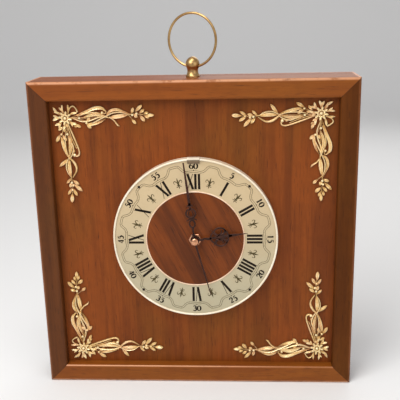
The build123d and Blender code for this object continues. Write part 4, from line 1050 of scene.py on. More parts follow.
def finishes() -> dict[str, bpy.types.Material]:
    """Build every finish once.

    Returns:
        Materials by name.
    """
    kinds = [
        Wood(
            "rail_walnut_top", WALNUT_LIGHT, WALNUT_DARK, roughness=0.34, coat=0.02, specular=0.2,
            warm=WALNUT_WARM, grain=Grain.ALONG_X, seed=1.3, edge=WALNUT_EDGE_HIGHLIGHT, mitred=True,
            raw=RAW_WALNUT,
        ),
        Wood(
            "rail_walnut_bottom", WALNUT_LIGHT, WALNUT_DARK, roughness=0.34, coat=0.02, specular=0.2,
            warm=WALNUT_WARM, grain=Grain.ALONG_X, seed=5.1, edge=WALNUT_EDGE_HIGHLIGHT, mitred=True, lip=1.0,
            raw=RAW_WALNUT,
        ),
        # The side rails take the darker walnut tones: painted shade.
        Wood(
            "rail_walnut_left", SHADED_STILE_LIGHT, SHADED_STILE_DARK, roughness=0.36, coat=0.02, specular=0.2,
            warm=SHADED_STILE_WARM, grain=Grain.ALONG_Z, seed=2.7, edge=STILE_EDGE_HIGHLIGHT, mitred=True,
            raw=RAW_WALNUT,
        ),
        Wood(
            "rail_walnut_right", SHADED_STILE_LIGHT, SHADED_STILE_DARK, roughness=0.36, specular=0.08,
            warm=SHADED_STILE_WARM, grain=Grain.ALONG_Z, seed=8.2, edge=STILE_EDGE_HIGHLIGHT, mitred=True,
            raw=RAW_WALNUT,
        ),
        Wood(
            "panel_veneer", VENEER_LIGHT, VENEER_DARK, roughness=0.40, coat=0.03, bump=0.03,
            specular=0.16, warm=VENEER_WARM, grain=Grain.ALONG_Z, seed=3.9, streak=0.6, lines=0.3,
            raw=srgb(172, 132, 90),
        ),
        Wood(
            "dial_veneer", srgb(128, 62, 17), srgb(78, 36, 10), roughness=0.38, coat=0.04, bump=0.03,
            specular=0.18, warm=srgb(124, 60, 20), grain=Grain.SLANTED, seed=6.4, fineness=0.8,
            streak=0.9, lines=0.2,
        ),
        Wood(
            "raw_pine", srgb(196, 160, 112), srgb(150, 108, 66), roughness=0.62, bump=0.08,
            specular=0.3, warm=srgb(204, 166, 108), grain=Grain.ALONG_X, seed=4.4, fineness=0.8,
            streak=0.5, lines=0.5, pores=0.15,
        ),
        Wood(
            "raw_pine_upright", srgb(192, 156, 110), srgb(146, 104, 64), roughness=0.62, bump=0.08,
            specular=0.3, warm=srgb(200, 162, 106), grain=Grain.ALONG_Z, seed=7.7, fineness=0.8,
            streak=0.5, lines=0.5, pores=0.15,
        ),
        # The casting's dark brown is patina and painted shade in its hollows, its near-white wear and a
        # painted highlight on its high points.
        GiltCasting(
            "antique_gilt", srgb(236, 194, 124), srgb(120, 76, 34), metallic=0.35, roughness=0.34,
            bump=0.05, rubbed=srgb(255, 238, 190),
        ),
        Stock(
            "brass_turned", srgb(206, 170, 114), srgb(164, 124, 76), metallic=1.0, roughness=0.32,
            bump=0.01, grain=1800.0, scratch=0.5, mottle=60.0,
        ),
        Stock(
            "brass_hub", srgb(226, 170, 134), srgb(196, 134, 96), metallic=1.0, roughness=0.26,
            bump=0.01, grain=1800.0, soil=0.25, scratch=0.5, mottle=90.0,
        ),
        Stock(
            "steel_zinc", STEEL, srgb(138, 136, 130), metallic=1.0, roughness=0.36, bump=0.02,
            grain=1400.0, soil=0.4, scratch=0.6, mottle=180.0,
        ),
        Stock(
            "steel_bright", srgb(198, 196, 190), srgb(160, 156, 150), metallic=1.0, roughness=0.26,
            bump=0.01, grain=1800.0, soil=0.3, scratch=0.5, mottle=120.0,
        ),
        Stock(
            "pin_dark", srgb(52, 40, 30), srgb(30, 22, 16), metallic=0.7, roughness=0.4, bump=0.01,
            grain=1800.0, soil=0.3, scratch=0.3, mottle=200.0,
        ),
        # The clip's brown is painted shade on its front and its cream a painted highlight on its top.
        ClipLitAndShaded(
            "clip_tinned", srgb(130, 110, 86), srgb(246, 234, 210), metallic=0.5, roughness=0.32,
            bump=0.01,
        ),
        Stock(
            "hand_bronze", srgb(72, 40, 29), srgb(44, 24, 17), metallic=0.6, roughness=0.34, bump=0.01,
            grain=1600.0, soil=0.3, mottle=160.0,
        ),
        Stock(
            "rim_enamel", srgb(248, 236, 212), srgb(238, 220, 188), roughness=0.22, coat=0.4,
            bump=0.008, grain=900.0, soil=0.3, scratch=0.3, mottle=50.0,
        ),
        Stock(
            "bezel_enamel", srgb(244, 214, 182), srgb(226, 184, 146), roughness=0.25, coat=0.3,
            bump=0.008, grain=900.0, soil=0.25, scratch=0.3, mottle=70.0,
        ),
        PrintedRing(
            "chapter_enamel", srgb(202, 178, 138), srgb(172, 168, 142), roughness=0.32, coat=0.2,
            bump=0.006, specular=0.4,
        ),
        Stock(
            "ink_dark", srgb(20, 11, 3), srgb(32, 20, 7), roughness=0.45, bump=0.004, specular=0.15,
            grain=1300.0, soil=0.2, scratch=0.2, mottle=300.0,
        ),
        Stock(
            "ink_olive", srgb(66, 55, 28), srgb(88, 76, 44), roughness=0.45, bump=0.004, specular=0.2,
            grain=1300.0, soil=0.2, scratch=0.2, mottle=300.0,
        ),
        Stock(
            "fibreboard", srgb(134, 98, 62), srgb(104, 72, 44), roughness=0.78, bump=0.12, grain=800.0,
            scratch=0.1, mottle=160.0,
        ),
        Stock(
            "moulded_black", srgb(34, 34, 35), srgb(26, 26, 27), roughness=0.46, bump=0.05,
            grain=1100.0, soil=0.3, scratch=0.5, mottle=70.0,
        ),
        Stock(
            "moulded_natural", srgb(226, 220, 200), srgb(212, 202, 178), roughness=0.44, bump=0.03,
            grain=1300.0, soil=0.2, scratch=0.3, mottle=90.0,
        ),
        Stock(
            "wheel_white", srgb(232, 230, 222), srgb(216, 212, 200), roughness=0.38, bump=0.02,
            soil=0.15, scratch=0.2, mottle=160.0,
        ),
        Stock(
            "knob_ivory", srgb(226, 222, 208), srgb(208, 202, 184), roughness=0.42, bump=0.03,
            grain=1200.0, soil=0.3, scratch=0.3, mottle=120.0,
        ),
        Stock(
            "magnet_grey", srgb(70, 68, 70), srgb(50, 48, 50), metallic=0.4, bump=0.03, soil=0.3,
            scratch=0.3, mottle=260.0,
        ),
        Banded(
            "stator_layers", srgb(150, 150, 154), srgb(92, 92, 98), metallic=0.9, roughness=0.38,
            bump=0.02, pitch=0.35,
        ),
        Banded(
            "copper_turns", srgb(204, 112, 66), srgb(132, 60, 34), metallic=0.9, roughness=0.32,
            bands=(1.0, 0.0, 0.0), pitch=0.30,
        ),
        Stock(
            "board_green", srgb(24, 92, 52), srgb(16, 70, 40), roughness=0.36, coat=0.3, bump=0.02,
            grain=1300.0, soil=0.2, scratch=0.3, mottle=200.0,
        ),
        Stock(
            "resin_black", srgb(22, 22, 22), srgb(14, 14, 14), roughness=0.30, bump=0.02, grain=1300.0,
            soil=0.2, scratch=0.2, mottle=220.0,
        ),
        Stock(
            "gasket_rubber", srgb(30, 29, 28), srgb(20, 19, 18), roughness=0.7, bump=0.05, grain=1000.0,
            soil=0.4, scratch=0.1, mottle=120.0,
        ),
        CellJacket(
            "cell_jacket", srgb(36, 36, 40), srgb(190, 112, 60), metallic=0.2, roughness=0.34, bump=0.01
        ),
    ]
    return {kind.name: kind.build() for kind in kinds}


def dress(materials: dict[str, bpy.types.Material], finish: str, *nodes: str) -> None:
    """Give carried-over CAD nodes their finish.

    Args:
        materials: Materials by name.
        finish: The finish's name.
        nodes: The nodes.
    """
    for name in nodes:
        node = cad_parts[name]
        node.data.materials.clear()
        node.data.materials.append(materials[finish])


# The clock's own assemblies.


@dataclass
class Case:
    """The mitred walnut case, its veneered panel, and the battens, blocks and hanger behind it."""

    materials: dict[str, bpy.types.Material]

    def build(self) -> None:
        """Dress every board with grain along its length, and the fixings in steel."""
        for side in ("top", "bottom", "left", "right"):
            dress(self.materials, f"rail_walnut_{side}", f"rail_{side}")
        dress(self.materials, "panel_veneer", "front_panel")
        dress(self.materials, "raw_pine", "panel_batten_top", "panel_batten_bottom")
        dress(self.materials, "raw_pine_upright", "panel_batten_left", "panel_batten_right", "glue_blocks")
        dress(self.materials, "steel_bright", "batten_brads")
        dress(self.materials, "steel_zinc", "sawtooth_hanger", "hanger_nails")
        LOG.info("case dressed")


@dataclass
class HangingRing:
    """The brass ring on its turned post, with the washer and nut inside the case."""

    materials: dict[str, bpy.types.Material]
    middle_z: float = 338.8
    outside: float = 50.8
    wire: float = 1.15
    yaw: float = 22.7

    def build(self) -> None:
        """Sweep the ring's wire and dress the rest."""
        ring = make_piece("brass_hanging_ring", self.wire_ring(), self.materials["brass_turned"])
        place(ring, "ring", "brass", "hanging_ring")
        dress(self.materials, "brass_turned", "ring_post")
        dress(self.materials, "steel_zinc", "post_washer", "post_nut")

    def wire_ring(self) -> Surface:
        """Sweep a round wire round a circle that stands upright and is turned by the yaw.

        A point is the middle plus (radius plus wire cos b) along the circle at angle a, plus wire sin b along
        the circle's axis.

        Returns:
            The ring in the row frame.
        """
        a = np.linspace(0, 2 * math.pi, 120, endpoint=False)[:, None]
        b = np.linspace(0, 2 * math.pi, 18, endpoint=False)[None, :]
        radius = self.outside / 2 - self.wire
        reach = radius + self.wire * np.cos(b)
        side, up, off = reach * np.cos(a), reach * np.sin(a), self.wire * np.sin(b) + 0 * a
        c, s = math.cos(math.radians(self.yaw)), math.sin(math.radians(self.yaw))
        points = np.stack([side * c + off * s, -side * s + off * c, self.middle_z + up], axis=-1)
        return grid_surface(points, close_rows=True, close_columns=True)


@dataclass
class CornerCastings:
    """The gilt sprays in the panel's corners: a rosette with two arms of leaves, pods and buds."""

    materials: dict[str, bpy.types.Material]
    rosette: Flat = (-119.5, 118.0)

    def build(self) -> None:
        """Shape the spray once, and lay it in each corner a quarter turn on from the last."""
        spray = joined([*self.flower(), *self.upper_arm(), *self.lower_arm()])
        corners = {"top_left": 0, "top_right": 90, "bottom_right": 180, "bottom_left": 270}
        for corner, turn in corners.items():
            casting = on_front(spray, PANEL_FRONT, turn)
            piece = make_piece(f"gilt_spray_{corner}", casting, self.materials["antique_gilt"], 60)
            place(piece, "case", "antique_gold", f"corner_ornament_{corner}")
        dress(self.materials, "antique_gilt", "ornament_pins")

    def flower(self) -> list[Surface]:
        """Make the rosette: long outer petals, short inner ones, a ring of beads and a boss.

        Returns:
            Its closed forms.
        """
        x, z = self.rosette
        outer = (
            (-46, 15.2, 2.4), (-27, 11.4, 1.9), (-9, 12.8, 2.0), (14, 13.2, 1.9), (66, 12.8, 2.2),
            (118, 12.4, 2.4), (139, 10.6, 2.1), (166, 9.0, 1.9), (194, 11.6, 2.3), (214, 11.8, 2.3),
            (237, 12.2, 2.4), (260, 12.0, 2.6), (283, 11.6, 2.5), (301, 11.8, 2.0),
        )
        forms = []
        for number, (clock, reach, width) in enumerate(outer):
            a = math.radians(clock)
            side = 0.10 * reach * (1 if number % 2 else -1)
            middle = (
                x + 0.55 * reach * math.sin(a) + side * math.cos(a),
                z + 0.55 * reach * math.cos(a) - side * math.sin(a),
            )
            tip = (x + reach * math.sin(a), z + reach * math.cos(a))
            forms.append(blade([(x, z), middle, tip], width, 1.5, 0.5, 0.72, curl=0.9 + 0.3 * (number % 3)))
        for number in range(8):
            a = math.radians(10 + 45 * number)
            tip = (x + 6.8 * math.sin(a), z + 6.8 * math.cos(a))
            forms.append(blade([(x, z), tip], 1.9, 1.6, 1.5, 0.7, curl=1.1))
            bead_x, bead_z = x + 3.1 * math.sin(a + 0.39), z + 3.1 * math.cos(a + 0.39)
            forms.append(self.bead(bead_x, bead_z, 0.8, 3.7))
        forms.append(self.bead(x, z, 1.5, 4.3))
        forms.append(
            stroke(
                [(-117.0, 121.0), (-114.8, 127.2), (-111.6, 129.2), (-109.0, 126.8), (-107.6, 123.6)],
                [0.9, 1.3, 1.5, 1.3, 1.9],
                2.0,
                0.6,
            )
        )
        return forms

    def bead(self, x: float, z: float, radius: float, top: float) -> Surface:
        """Make a domed bead on a short stalk: the dome is a quarter circle turned about its middle.

        Args:
            x: Its place.
            z: Its place.
            radius: Its radius.
            top: Its highest point over the board.

        Returns:
            The closed form.
        """
        angle = np.linspace(math.pi / 2, 0, 7)
        dome = [(radius * math.cos(a), top - radius + radius * math.sin(a)) for a in angle]
        form = turned([*dome, (0.7 * radius, 0.3), (0.0, 0.3)], 18)
        form.points[:, 0] += x
        form.points[:, 1] += z
        return form

    def bud(self, root: Flat, tip: Flat, width: float, crest: float = 2.2, lift: float = 0.2) -> Surface:
        """Make a plump bud with a seam down its middle."""
        return blade([root, tip], width, crest, lift, 0.62, Section.LEAF, 18, 13, 0.4)

    def upper_arm(self) -> list[Surface]:
        """Make the arm along the top of the panel.

        Returns:
            Its closed forms.
        """
        return [
            stroke([(-119.5, 118.0), (-107.5, 117.4), (-98.0, 113.2)], [2.2, 1.7, 1.5], 1.7, 0.0),
            stroke([(-116.0, 118.2), (-95.0, 117.8), (-76.0, 118.4)], [2.2, 1.8, 1.8], 1.4, 0.0),
            blade(
                [(-115.0, 118.4), (-101.0, 123.2), (-91.0, 127.0), (-84.4, 126.8), (-81.4, 123.6)],
                3.7,
                2.9,
                0.2,
                0.55,
            ),
            stroke(
                [(-84.6, 126.6), (-81.4, 124.6), (-81.0, 122.2), (-83.6, 121.8)],
                [2.0, 1.5, 1.2, 1.3],
                1.7,
                0.5,
            ),
            self.bead(-84.4, 122.6, 1.35, 2.7),
            blade(
                [(-104.5, 117.2), (-98.4, 119.6), (-91.0, 121.0), (-83.8, 119.6), (-76.2, 117.2)],
                3.5,
                3.1,
                0.5,
                0.5,
                Section.FOLD,
                30,
                17,
            ),
            blade([(-99.5, 111.4), (-96.0, 111.8), (-88.0, 113.6), (-80.0, 117.6)], 3.2, 2.5, 0.1, 0.38),
            stroke(
                [(-112.0, 117.5), (-103.0, 114.6), (-95.0, 115.8), (-87.0, 118.6), (-78.5, 118.2)],
                [1.2, 1.6, 1.7, 1.6, 1.3],
                2.5,
                0.4,
            ),
            stroke(
                [(-108.0, 119.5), (-99.0, 122.2), (-91.0, 123.0), (-84.4, 121.4)],
                [1.0, 1.4, 1.4, 0.8],
                2.3,
                0.4,
            ),
            stroke(
                [
                    (-95.0, 112.4), (-88.6, 115.6), (-82.0, 118.8), (-74.0, 122.4), (-66.0, 122.6),
                    (-60.5, 120.6),
                ],
                [1.1, 1.5, 1.5, 1.5, 1.3, 1.0],
                2.7,
                0.6,
            ),
            self.bud((-100.2, 113.2), (-96.0, 118.6), 3.0),
            self.bud((-100.4, 113.4), (-95.4, 108.0), 3.4),
            self.bead(-99.6, 113.2, 1.2, 2.6),
            self.bud((-112.0, 112.6), (-105.0, 109.2), 2.8, 2.0),
            self.bud((-111.6, 113.4), (-109.6, 108.6), 2.4, 1.8),
            stroke([(-117.0, 116.0), (-113.6, 114.2), (-111.8, 112.4)], [1.4, 1.1, 1.1], 1.4),
            blade(
                [(-80.8, 119.4), (-77.0, 124.0), (-70.6, 125.4), (-64.0, 123.0), (-57.6, 120.6)],
                2.9,
                2.2,
                0.3,
                0.42,
            ),
            blade(
                [(-77.8, 118.2), (-70.0, 118.9), (-59.6, 120.4)], 4.2, 2.8, 0.1, 0.5, Section.LEAF, 28, 17
            ),
            stroke(
                [(-78.0, 118.6), (-73.6, 115.2), (-70.6, 111.0), (-68.4, 109.6)],
                [1.8, 1.6, 1.9, 0.8],
                1.9,
                0.3,
            ),
            stroke([(-61.0, 120.6), (-51.0, 120.8), (-42.0, 119.6)], [1.5, 1.3, 1.2], 1.5),
            stroke([(-60.0, 120.6), (-57.6, 117.4), (-55.6, 115.0)], [1.3, 1.1, 1.0], 1.4),
            self.bud((-57.4, 116.8), (-53.0, 111.8), 2.9),
            self.bud((-57.2, 120.4), (-55.0, 127.2), 3.1),
            self.bud((-54.6, 122.0), (-46.8, 129.6), 3.4),
            self.bud((-55.6, 120.8), (-51.4, 118.0), 3.2, 2.4),
            self.bead(-52.2, 121.4, 1.3, 2.6),
            self.bud((-50.4, 121.0), (-44.8, 125.4), 2.9),
            self.bud((-49.8, 120.4), (-44.6, 114.0), 3.5),
            self.bud((-46.4, 121.4), (-41.0, 122.4), 2.6),
            self.bud((-45.8, 119.6), (-40.2, 117.4), 2.8),
            self.bud((-44.4, 119.8), (-35.8, 119.8), 3.2, 2.4, 0.4),
        ]

    def lower_arm(self) -> list[Surface]:
        """Make the arm down the side of the panel.

        Returns:
            Its closed forms.
        """
        return [
            stroke([(-119.5, 118.0), (-118.2, 100.0), (-118.6, 78.0)], [2.2, 1.6, 1.6], 1.4),
            stroke(
                [(-117.6, 113.0), (-112.4, 99.0), (-108.6, 87.0), (-109.2, 82.4), (-112.2, 81.4)],
                [1.6, 1.9, 1.8, 1.9, 1.7],
                1.9,
                0.2,
            ),
            stroke([(-118.4, 112.0), (-114.6, 98.4), (-110.8, 89.0)], [1.3, 1.2, 1.1], 1.5, 0.3),
            self.bead(-113.0, 82.6, 1.6, 2.9),
            self.bud((-112.8, 84.0), (-113.8, 88.6), 2.0),
            stroke([(-119.8, 114.0), (-122.4, 107.0), (-124.6, 101.2)], [1.7, 1.3, 1.2], 1.5),
            self.bud((-121.4, 110.4), (-127.0, 106.4), 2.9),
            self.bud((-120.6, 110.4), (-121.4, 104.6), 2.8),
            self.bead(-123.6, 108.8, 1.1, 2.3),
            self.bud((-124.6, 103.6), (-129.8, 95.2), 3.4),
            self.bud((-124.0, 103.0), (-119.6, 96.4), 3.2),
            self.bead(-124.2, 102.6, 1.2, 2.5),
            blade([(-124.6, 101.0), (-122.6, 90.4), (-118.6, 78.4)], 3.3, 2.7, 0.2, 0.42),
            blade(
                [(-117.4, 104.0), (-116.0, 92.0), (-118.4, 78.6)],
                3.5,
                2.9,
                0.3,
                0.5,
                Section.FOLD,
                28,
                17,
            ),
            stroke(
                [(-119.4, 106.0), (-121.0, 97.0), (-120.6, 87.0), (-118.2, 79.0)],
                [1.1, 1.5, 1.5, 1.0],
                2.5,
                0.4,
            ),
            stroke(
                [(-117.8, 99.0), (-113.9, 91.5), (-114.6, 84.5), (-118.2, 78.6)],
                [1.0, 1.5, 1.6, 1.1],
                2.5,
                0.4,
            ),
            stroke(
                [(-118.2, 81.0), (-121.6, 73.5), (-121.0, 66.5), (-117.8, 61.0)],
                [1.1, 1.5, 1.4, 0.9],
                2.5,
                0.4,
            ),
            self.bud((-117.8, 80.0), (-128.6, 71.6), 3.3),
            stroke(
                [(-118.4, 80.6), (-113.4, 74.0), (-112.4, 67.6), (-116.4, 60.6)],
                [1.8, 2.8, 2.0, 1.2],
                1.9,
                0.4,
            ),
            blade(
                [(-118.6, 79.0), (-118.8, 70.0), (-117.8, 60.6)],
                3.8,
                2.8,
                0.1,
                0.48,
                Section.LEAF,
                28,
                17,
            ),
            stroke([(-118.0, 62.0), (-117.3, 52.0), (-118.2, 42.0)], [1.5, 1.3, 1.2], 1.5),
            self.bud((-117.2, 60.8), (-122.8, 54.8), 2.6),
            self.bud((-117.4, 58.6), (-110.6, 53.6), 3.0),
            self.bud((-117.2, 55.6), (-107.8, 47.0), 3.5),
            self.bud((-117.6, 57.2), (-119.6, 50.6), 3.1, 2.4),
            self.bead(-116.4, 53.0, 1.3, 2.6),
            self.bud((-117.0, 51.4), (-122.2, 43.6), 2.7),
            self.bud((-117.6, 50.4), (-113.0, 42.6), 3.0),
            self.bead(-117.6, 48.4, 1.1, 2.3),
            self.bud((-118.0, 46.0), (-118.7, 35.9), 3.8, 2.4, 0.4),
        ]


class Glyph(Enum):
    """Strokes of the dial's old-style digits, each as points and widths in a box 3.4 wide and 5.6 high."""

    ZERO = (([(0.0, 2.8), (-1.45, 1.2), (-1.45, -1.2), (0.0, -2.8), (1.45, -1.2), (1.45, 1.2), (0.0, 2.8)],
             [0.3, 1.0, 1.0, 0.3, 1.0, 1.0, 0.3]),)
    ONE = (([(0.0, -2.8), (0.0, 2.8)], [0.9, 0.9]), ([(-1.1, 1.7), (0.0, 2.7)], [0.3, 0.6]),
           ([(-1.0, -2.7), (1.0, -2.7)], [0.3, 0.3]))
    TWO = (
        (
            [(-1.3, 1.4), (-0.5, 2.7), (1.1, 2.3), (1.1, 0.6), (-0.4, -1.2), (-1.5, -2.5)],
            [0.9, 0.5, 0.9, 0.9, 0.5, 0.4],
        ),
        ([(-1.5, -2.4), (-0.2, -2.2), (1.5, -2.6)], [0.5, 0.8, 0.6]),
    )
    THREE = (
        ([(-1.3, 1.9), (-0.2, 2.7), (1.1, 1.8), (0.9, 0.6), (-0.4, 0.2)], [0.6, 0.4, 0.9, 0.7, 0.3]),
        ([(-0.4, 0.2), (1.2, -0.3), (1.3, -1.8), (0.0, -2.8), (-1.4, -2.0)], [0.3, 0.8, 1.0, 0.5, 0.7]),
    )
    FOUR = (([(0.7, -2.8), (0.7, 2.8)], [0.9, 0.9]), ([(0.6, 2.6), (-1.6, -1.1)], [0.3, 0.3]),
            ([(-1.6, -1.1), (1.6, -1.1)], [0.4, 0.4]))
    FIVE = (
        ([(-0.9, 2.6), (0.2, 2.4), (1.3, 2.8)], [0.5, 0.6, 0.4]),
        ([(-0.9, 2.6), (-1.1, 0.5)], [0.3, 0.3]),
        ([(-1.1, 0.5), (0.6, 0.7), (1.3, -0.9), (0.5, -2.5), (-1.3, -2.4)], [0.3, 0.8, 1.1, 0.6, 0.7]),
    )
    SIX = (([(1.2, 2.4), (-0.3, 2.2), (-1.4, 0.2), (-1.4, -1.4), (0.0, -2.8)], [0.6, 0.5, 1.0, 1.0, 0.3]),
           ([(0.0, -2.8), (1.3, -1.8), (1.2, -0.1), (0.0, 0.6), (-1.2, -0.2)], [0.3, 0.9, 0.8, 0.3, 0.3]))


DIGITS = (Glyph.ZERO, Glyph.ONE, Glyph.TWO, Glyph.THREE, Glyph.FOUR, Glyph.FIVE, Glyph.SIX)


@dataclass
class DialPrint:
    """The print on the chapter ring: Roman hours, minute numbers, a scalloped track and lilies."""

    materials: dict[str, bpy.types.Material]
    thick: float = 0.035
    base: float = 49.8
    top: float = 64.6
    heavy: float = 2.3
    hair: float = 0.55
    pitch: float = 3.4
    number_radius: float = 72.3
    dip: float = 66.9
    swell: float = 6.3

    def build(self) -> None:
        """Lay the four kinds of print on the ring."""
        prints = {
            "printed_roman_hours": (self.roman_hours(), "ink_dark"),
            "printed_minute_numbers": (self.minute_numbers(), "ink_dark"),
            "printed_scalloped_track": (self.track(), "ink_olive"),
            "printed_lilies": (self.lilies(), "ink_olive"),
        }
        for name, (forms, ink) in prints.items():
            piece = make_piece(name, joined(forms), self.materials[ink], 30)
            place(piece, "case", "chapter_print")

    def line(
        self, points: Sequence[Flat], widths: Sequence[float], turn: float, count: int = 14
    ) -> Surface:
        """Lay one flat stroke, drawn with the ring's outside up, at its clock angle."""
        flat = stroke(points, widths, self.thick, 0.0, Section.PLATE, count)
        return on_front(flat, CHAPTER_FRONT, turn)

    def roman_hours(self) -> list[Surface]:
        """Draw the hours with their feet to the centre, four strokes for four, thick and thin in V and X.

        Returns:
            The strokes.
        """
        numerals = ("XII", "I", "II", "III", "IIII", "V", "VI", "VII", "VIII", "IX", "X", "XI")
        wide = {"I": 1.0, "V": 1.75, "X": 1.9}
        strokes = []
        for hour, numeral in enumerate(numerals):
            whole = self.pitch * sum(wide[letter] for letter in numeral)
            x = -whole / 2
            for letter in numeral:
                half = self.pitch * wide[letter] / 2
                x += half
                strokes += self.letter(letter, x, half - 0.75, 30 * hour)
                x += half
        return strokes

    def letter(self, letter: str, x: float, half: float, turn: float) -> list[Surface]:
        """Draw one Roman letter.

        Args:
            letter: I, V or X.
            x: Its middle.
            half: Half its width.
            turn: Its clock angle.

        Returns:
            Its strokes.
        """
        thick, thin = [self.heavy] * 2, [self.hair] * 2
        if letter == "I":
            lines = [([(x, self.base), (x, self.top)], thick)]
        elif letter == "V":
            lines = [
                ([(x - half, self.top), (x + 0.3, self.base)], thick),
                ([(x + 0.6, self.base), (x + half, self.top)], thin),
            ]
        else:
            lines = [
                ([(x - half, self.top), (x + half, self.base)], thick),
                ([(x - half, self.base), (x + half, self.top)], thin),
            ]
        serif = []
        for points, widths in lines:
            for foot in points:
                reach = 0.5 * widths[0] + 0.35
                serif.append(([(foot[0] - reach, foot[1]), (foot[0] + reach, foot[1])], [0.22, 0.22]))
        return [self.line(points, widths, turn, 2) for points, widths in lines + serif]

    def minute_numbers(self) -> list[Surface]:
        """Draw 5 to 60 round the edge, the lower half upright, each with a small diamond inside it.

        Returns:
            The strokes.
        """
        strokes = []
        for step in range(1, 13):
            turn = 30 * step
            upright = 100 < turn < 260
            text = str(5 * step)
            for place_in, digit in enumerate(text):
                x = 4.2 * (place_in - (len(text) - 1) / 2)
                for points, widths in DIGITS[int(digit)].value:
                    drawn = [(x + px, pz) for px, pz in points]
                    if upright:
                        drawn = [(-px, -pz) for px, pz in drawn]
                    raised = [(px, self.number_radius + pz) for px, pz in drawn]
                    strokes.append(self.line(raised, [1.6 * w for w in widths], turn, 22))
            r = self.number_radius - 4.1
            strokes.append(self.line([(0, r - 0.65), (0, r), (0, r + 0.65)], [0.1, 1.1, 0.1], turn, 5))
        return strokes

    def track(self) -> list[Surface]:
        """Draw two fine lines that swell out between the numbers, with a dash for each minute.

        The radius is the dip plus the swell over one plus the sixth power of the angle from the middle of
        the gap, in units of 5 degrees, with a small ripple.

        Returns:
            The lines and dashes.
        """
        forms = []
        for offset in (-0.85, 0.85):
            clock = np.linspace(0, 360, 1441)[:-1]
            forms.append(self.closed_line(clock, offset))
        for minute in range(60):
            if minute % 5:
                r = float(self.radius(np.array([6.0 * minute]))[0])
                forms.append(self.line([(0, r - 0.45), (0, r + 0.45)], [0.24, 0.24], 6 * minute, 2))
        return forms

    def radius(self, clock: np.ndarray) -> np.ndarray:
        """Work out the track's radius at clock angles in degrees."""
        away = np.abs(np.mod(clock, 30) - 15)
        return self.dip + self.swell / (1 + (away / 5.2) ** 6) - 0.5 * np.exp(-(((away - 9.5) / 2.0) ** 2))

    def closed_line(self, clock: np.ndarray, offset: float) -> Surface:
        """Run a fine flat line once round the track, at an offset from its middle.

        Args:
            clock: Clock angles in degrees.
            offset: Distance outside the middle.

        Returns:
            The closed form.
        """
        a = np.radians(clock)
        r = self.radius(clock)
        flat = np.stack([r * np.sin(a), r * np.cos(a)], axis=1)
        slope = np.roll(flat, -1, axis=0) - np.roll(flat, 1, axis=0)
        slope /= np.linalg.norm(slope, axis=1, keepdims=True)
        out = np.stack([-slope[:, 1], slope[:, 0]], axis=1)
        reach = offset + np.array([-0.19, 0.19, 0.19, -0.19])
        high = np.broadcast_to(np.array([self.thick, self.thick, 0, 0])[None, :, None], (len(a), 4, 1))
        rows = np.concatenate([flat[:, None] + out[:, None] * reach[None, :, None], high], axis=2)
        return on_front(grid_surface(rows, close_rows=True, close_columns=True), CHAPTER_FRONT)

    def lilies(self) -> list[Surface]:
        """Draw a lily at each half hour: a pointed middle petal, two curled ones, a band and a foot.

        Returns:
            The strokes.
        """
        forms = []
        for hour in range(12):
            turn = 15 + 30 * hour
            r = 57.6
            lines = [
                ([(0, r - 2.2), (0, r + 1.8), (0, r + 5.4)], [0.5, 2.1, 0.2]),
                (
                    [(-0.5, r - 2.0), (-1.0, r + 0.8), (-3.0, r + 2.6), (-4.1, r + 1.0), (-3.2, r - 0.2)],
                    [0.5, 1.0, 1.1, 0.6, 0.6],
                ),
                (
                    [(0.5, r - 2.0), (1.0, r + 0.8), (3.0, r + 2.6), (4.1, r + 1.0), (3.2, r - 0.2)],
                    [0.5, 1.0, 1.1, 0.6, 0.6],
                ),
                ([(-1.9, r - 2.1), (1.9, r - 2.1)], [0.8, 0.8]),
                ([(0, r - 2.2), (0, r - 4.2), (0, r - 5.6)], [0.9, 1.2, 0.3]),
                ([(-0.4, r - 2.4), (-1.4, r - 3.6), (-2.6, r - 3.4)], [0.4, 0.8, 0.5]),
                ([(0.4, r - 2.4), (1.4, r - 3.6), (2.6, r - 3.4)], [0.4, 0.8, 0.5]),
            ]
            forms += [self.line(points, [0.78 * w for w in widths], turn, 16) for points, widths in lines]
        return forms


@dataclass
class Dial:
    """The dial's board, pan, chapter ring, wooden centre, pins and clip."""

    materials: dict[str, bpy.types.Material]
    clip_wide: float = 11.6
    clip_thick: float = 0.55

    def build(self) -> None:
        """Dress the dial's parts and print the ring."""
        dress(self.materials, "fibreboard", "dial_backing")
        dress(self.materials, "rim_enamel", "dial_pan")
        dress(self.materials, "bezel_enamel", "inner_bezel")
        dress(self.materials, "chapter_enamel", "chapter_ring")
        dress(self.materials, "dial_veneer", "dial_centre_wood")
        dress(self.materials, "pin_dark", "dial_pins")
        clip = make_piece("folded_dial_clip", self.clip(), self.materials["clip_tinned"], 50)
        place(clip, "case", "clip_metal", "dial_clip")
        DialPrint(self.materials).build()

    def clip(self) -> Surface:
        """Fold a strip of sheet over the rim at twelve, from its top to a lip bent towards the ring.

        The strip's middle line is a smooth path of depth and height, its two faces lie half the thickness
        to each side along the line's normal, and the section is carried along X.

        Returns:
            The strip in the row frame.
        """
        top = CENTRE_Z + 79.86
        line = smooth_path(
            [
                (-18.6, top), (-21.0, top), (-23.6, top), (-24.35, top - 0.25), (-24.44, top - 1.2),
                (-24.42, top - 2.6), (-23.9, top - 3.8), (-23.35, top - 4.6), (-23.3, top - 5.2),
            ],
            41,
        )
        slope = np.gradient(line, axis=0)
        slope /= np.linalg.norm(slope, axis=1, keepdims=True)
        side = np.stack([-slope[:, 1], slope[:, 0]], axis=1) * self.clip_thick / 2
        loop = np.concatenate([line + side, (line - side)[::-1]])
        x = np.array([-1.0, -0.985, 0.985, 1.0])[:, None] * self.clip_wide / 2
        narrow = np.array([0.6, 1.0, 1.0, 0.6])[:, None, None]
        middle = np.concatenate([line, line[::-1]])[None]
        flat = middle + (loop[None] - middle) * narrow
        rows = np.stack([x + 0 * flat[..., 0], flat[..., 0], flat[..., 1]], axis=-1)
        count = len(line)
        ends = [grid_surface(np.stack([row[:count], row[count:][::-1]])) for row in (rows[0], rows[-1])]
        return joined([grid_surface(rows, close_columns=True), *ends])


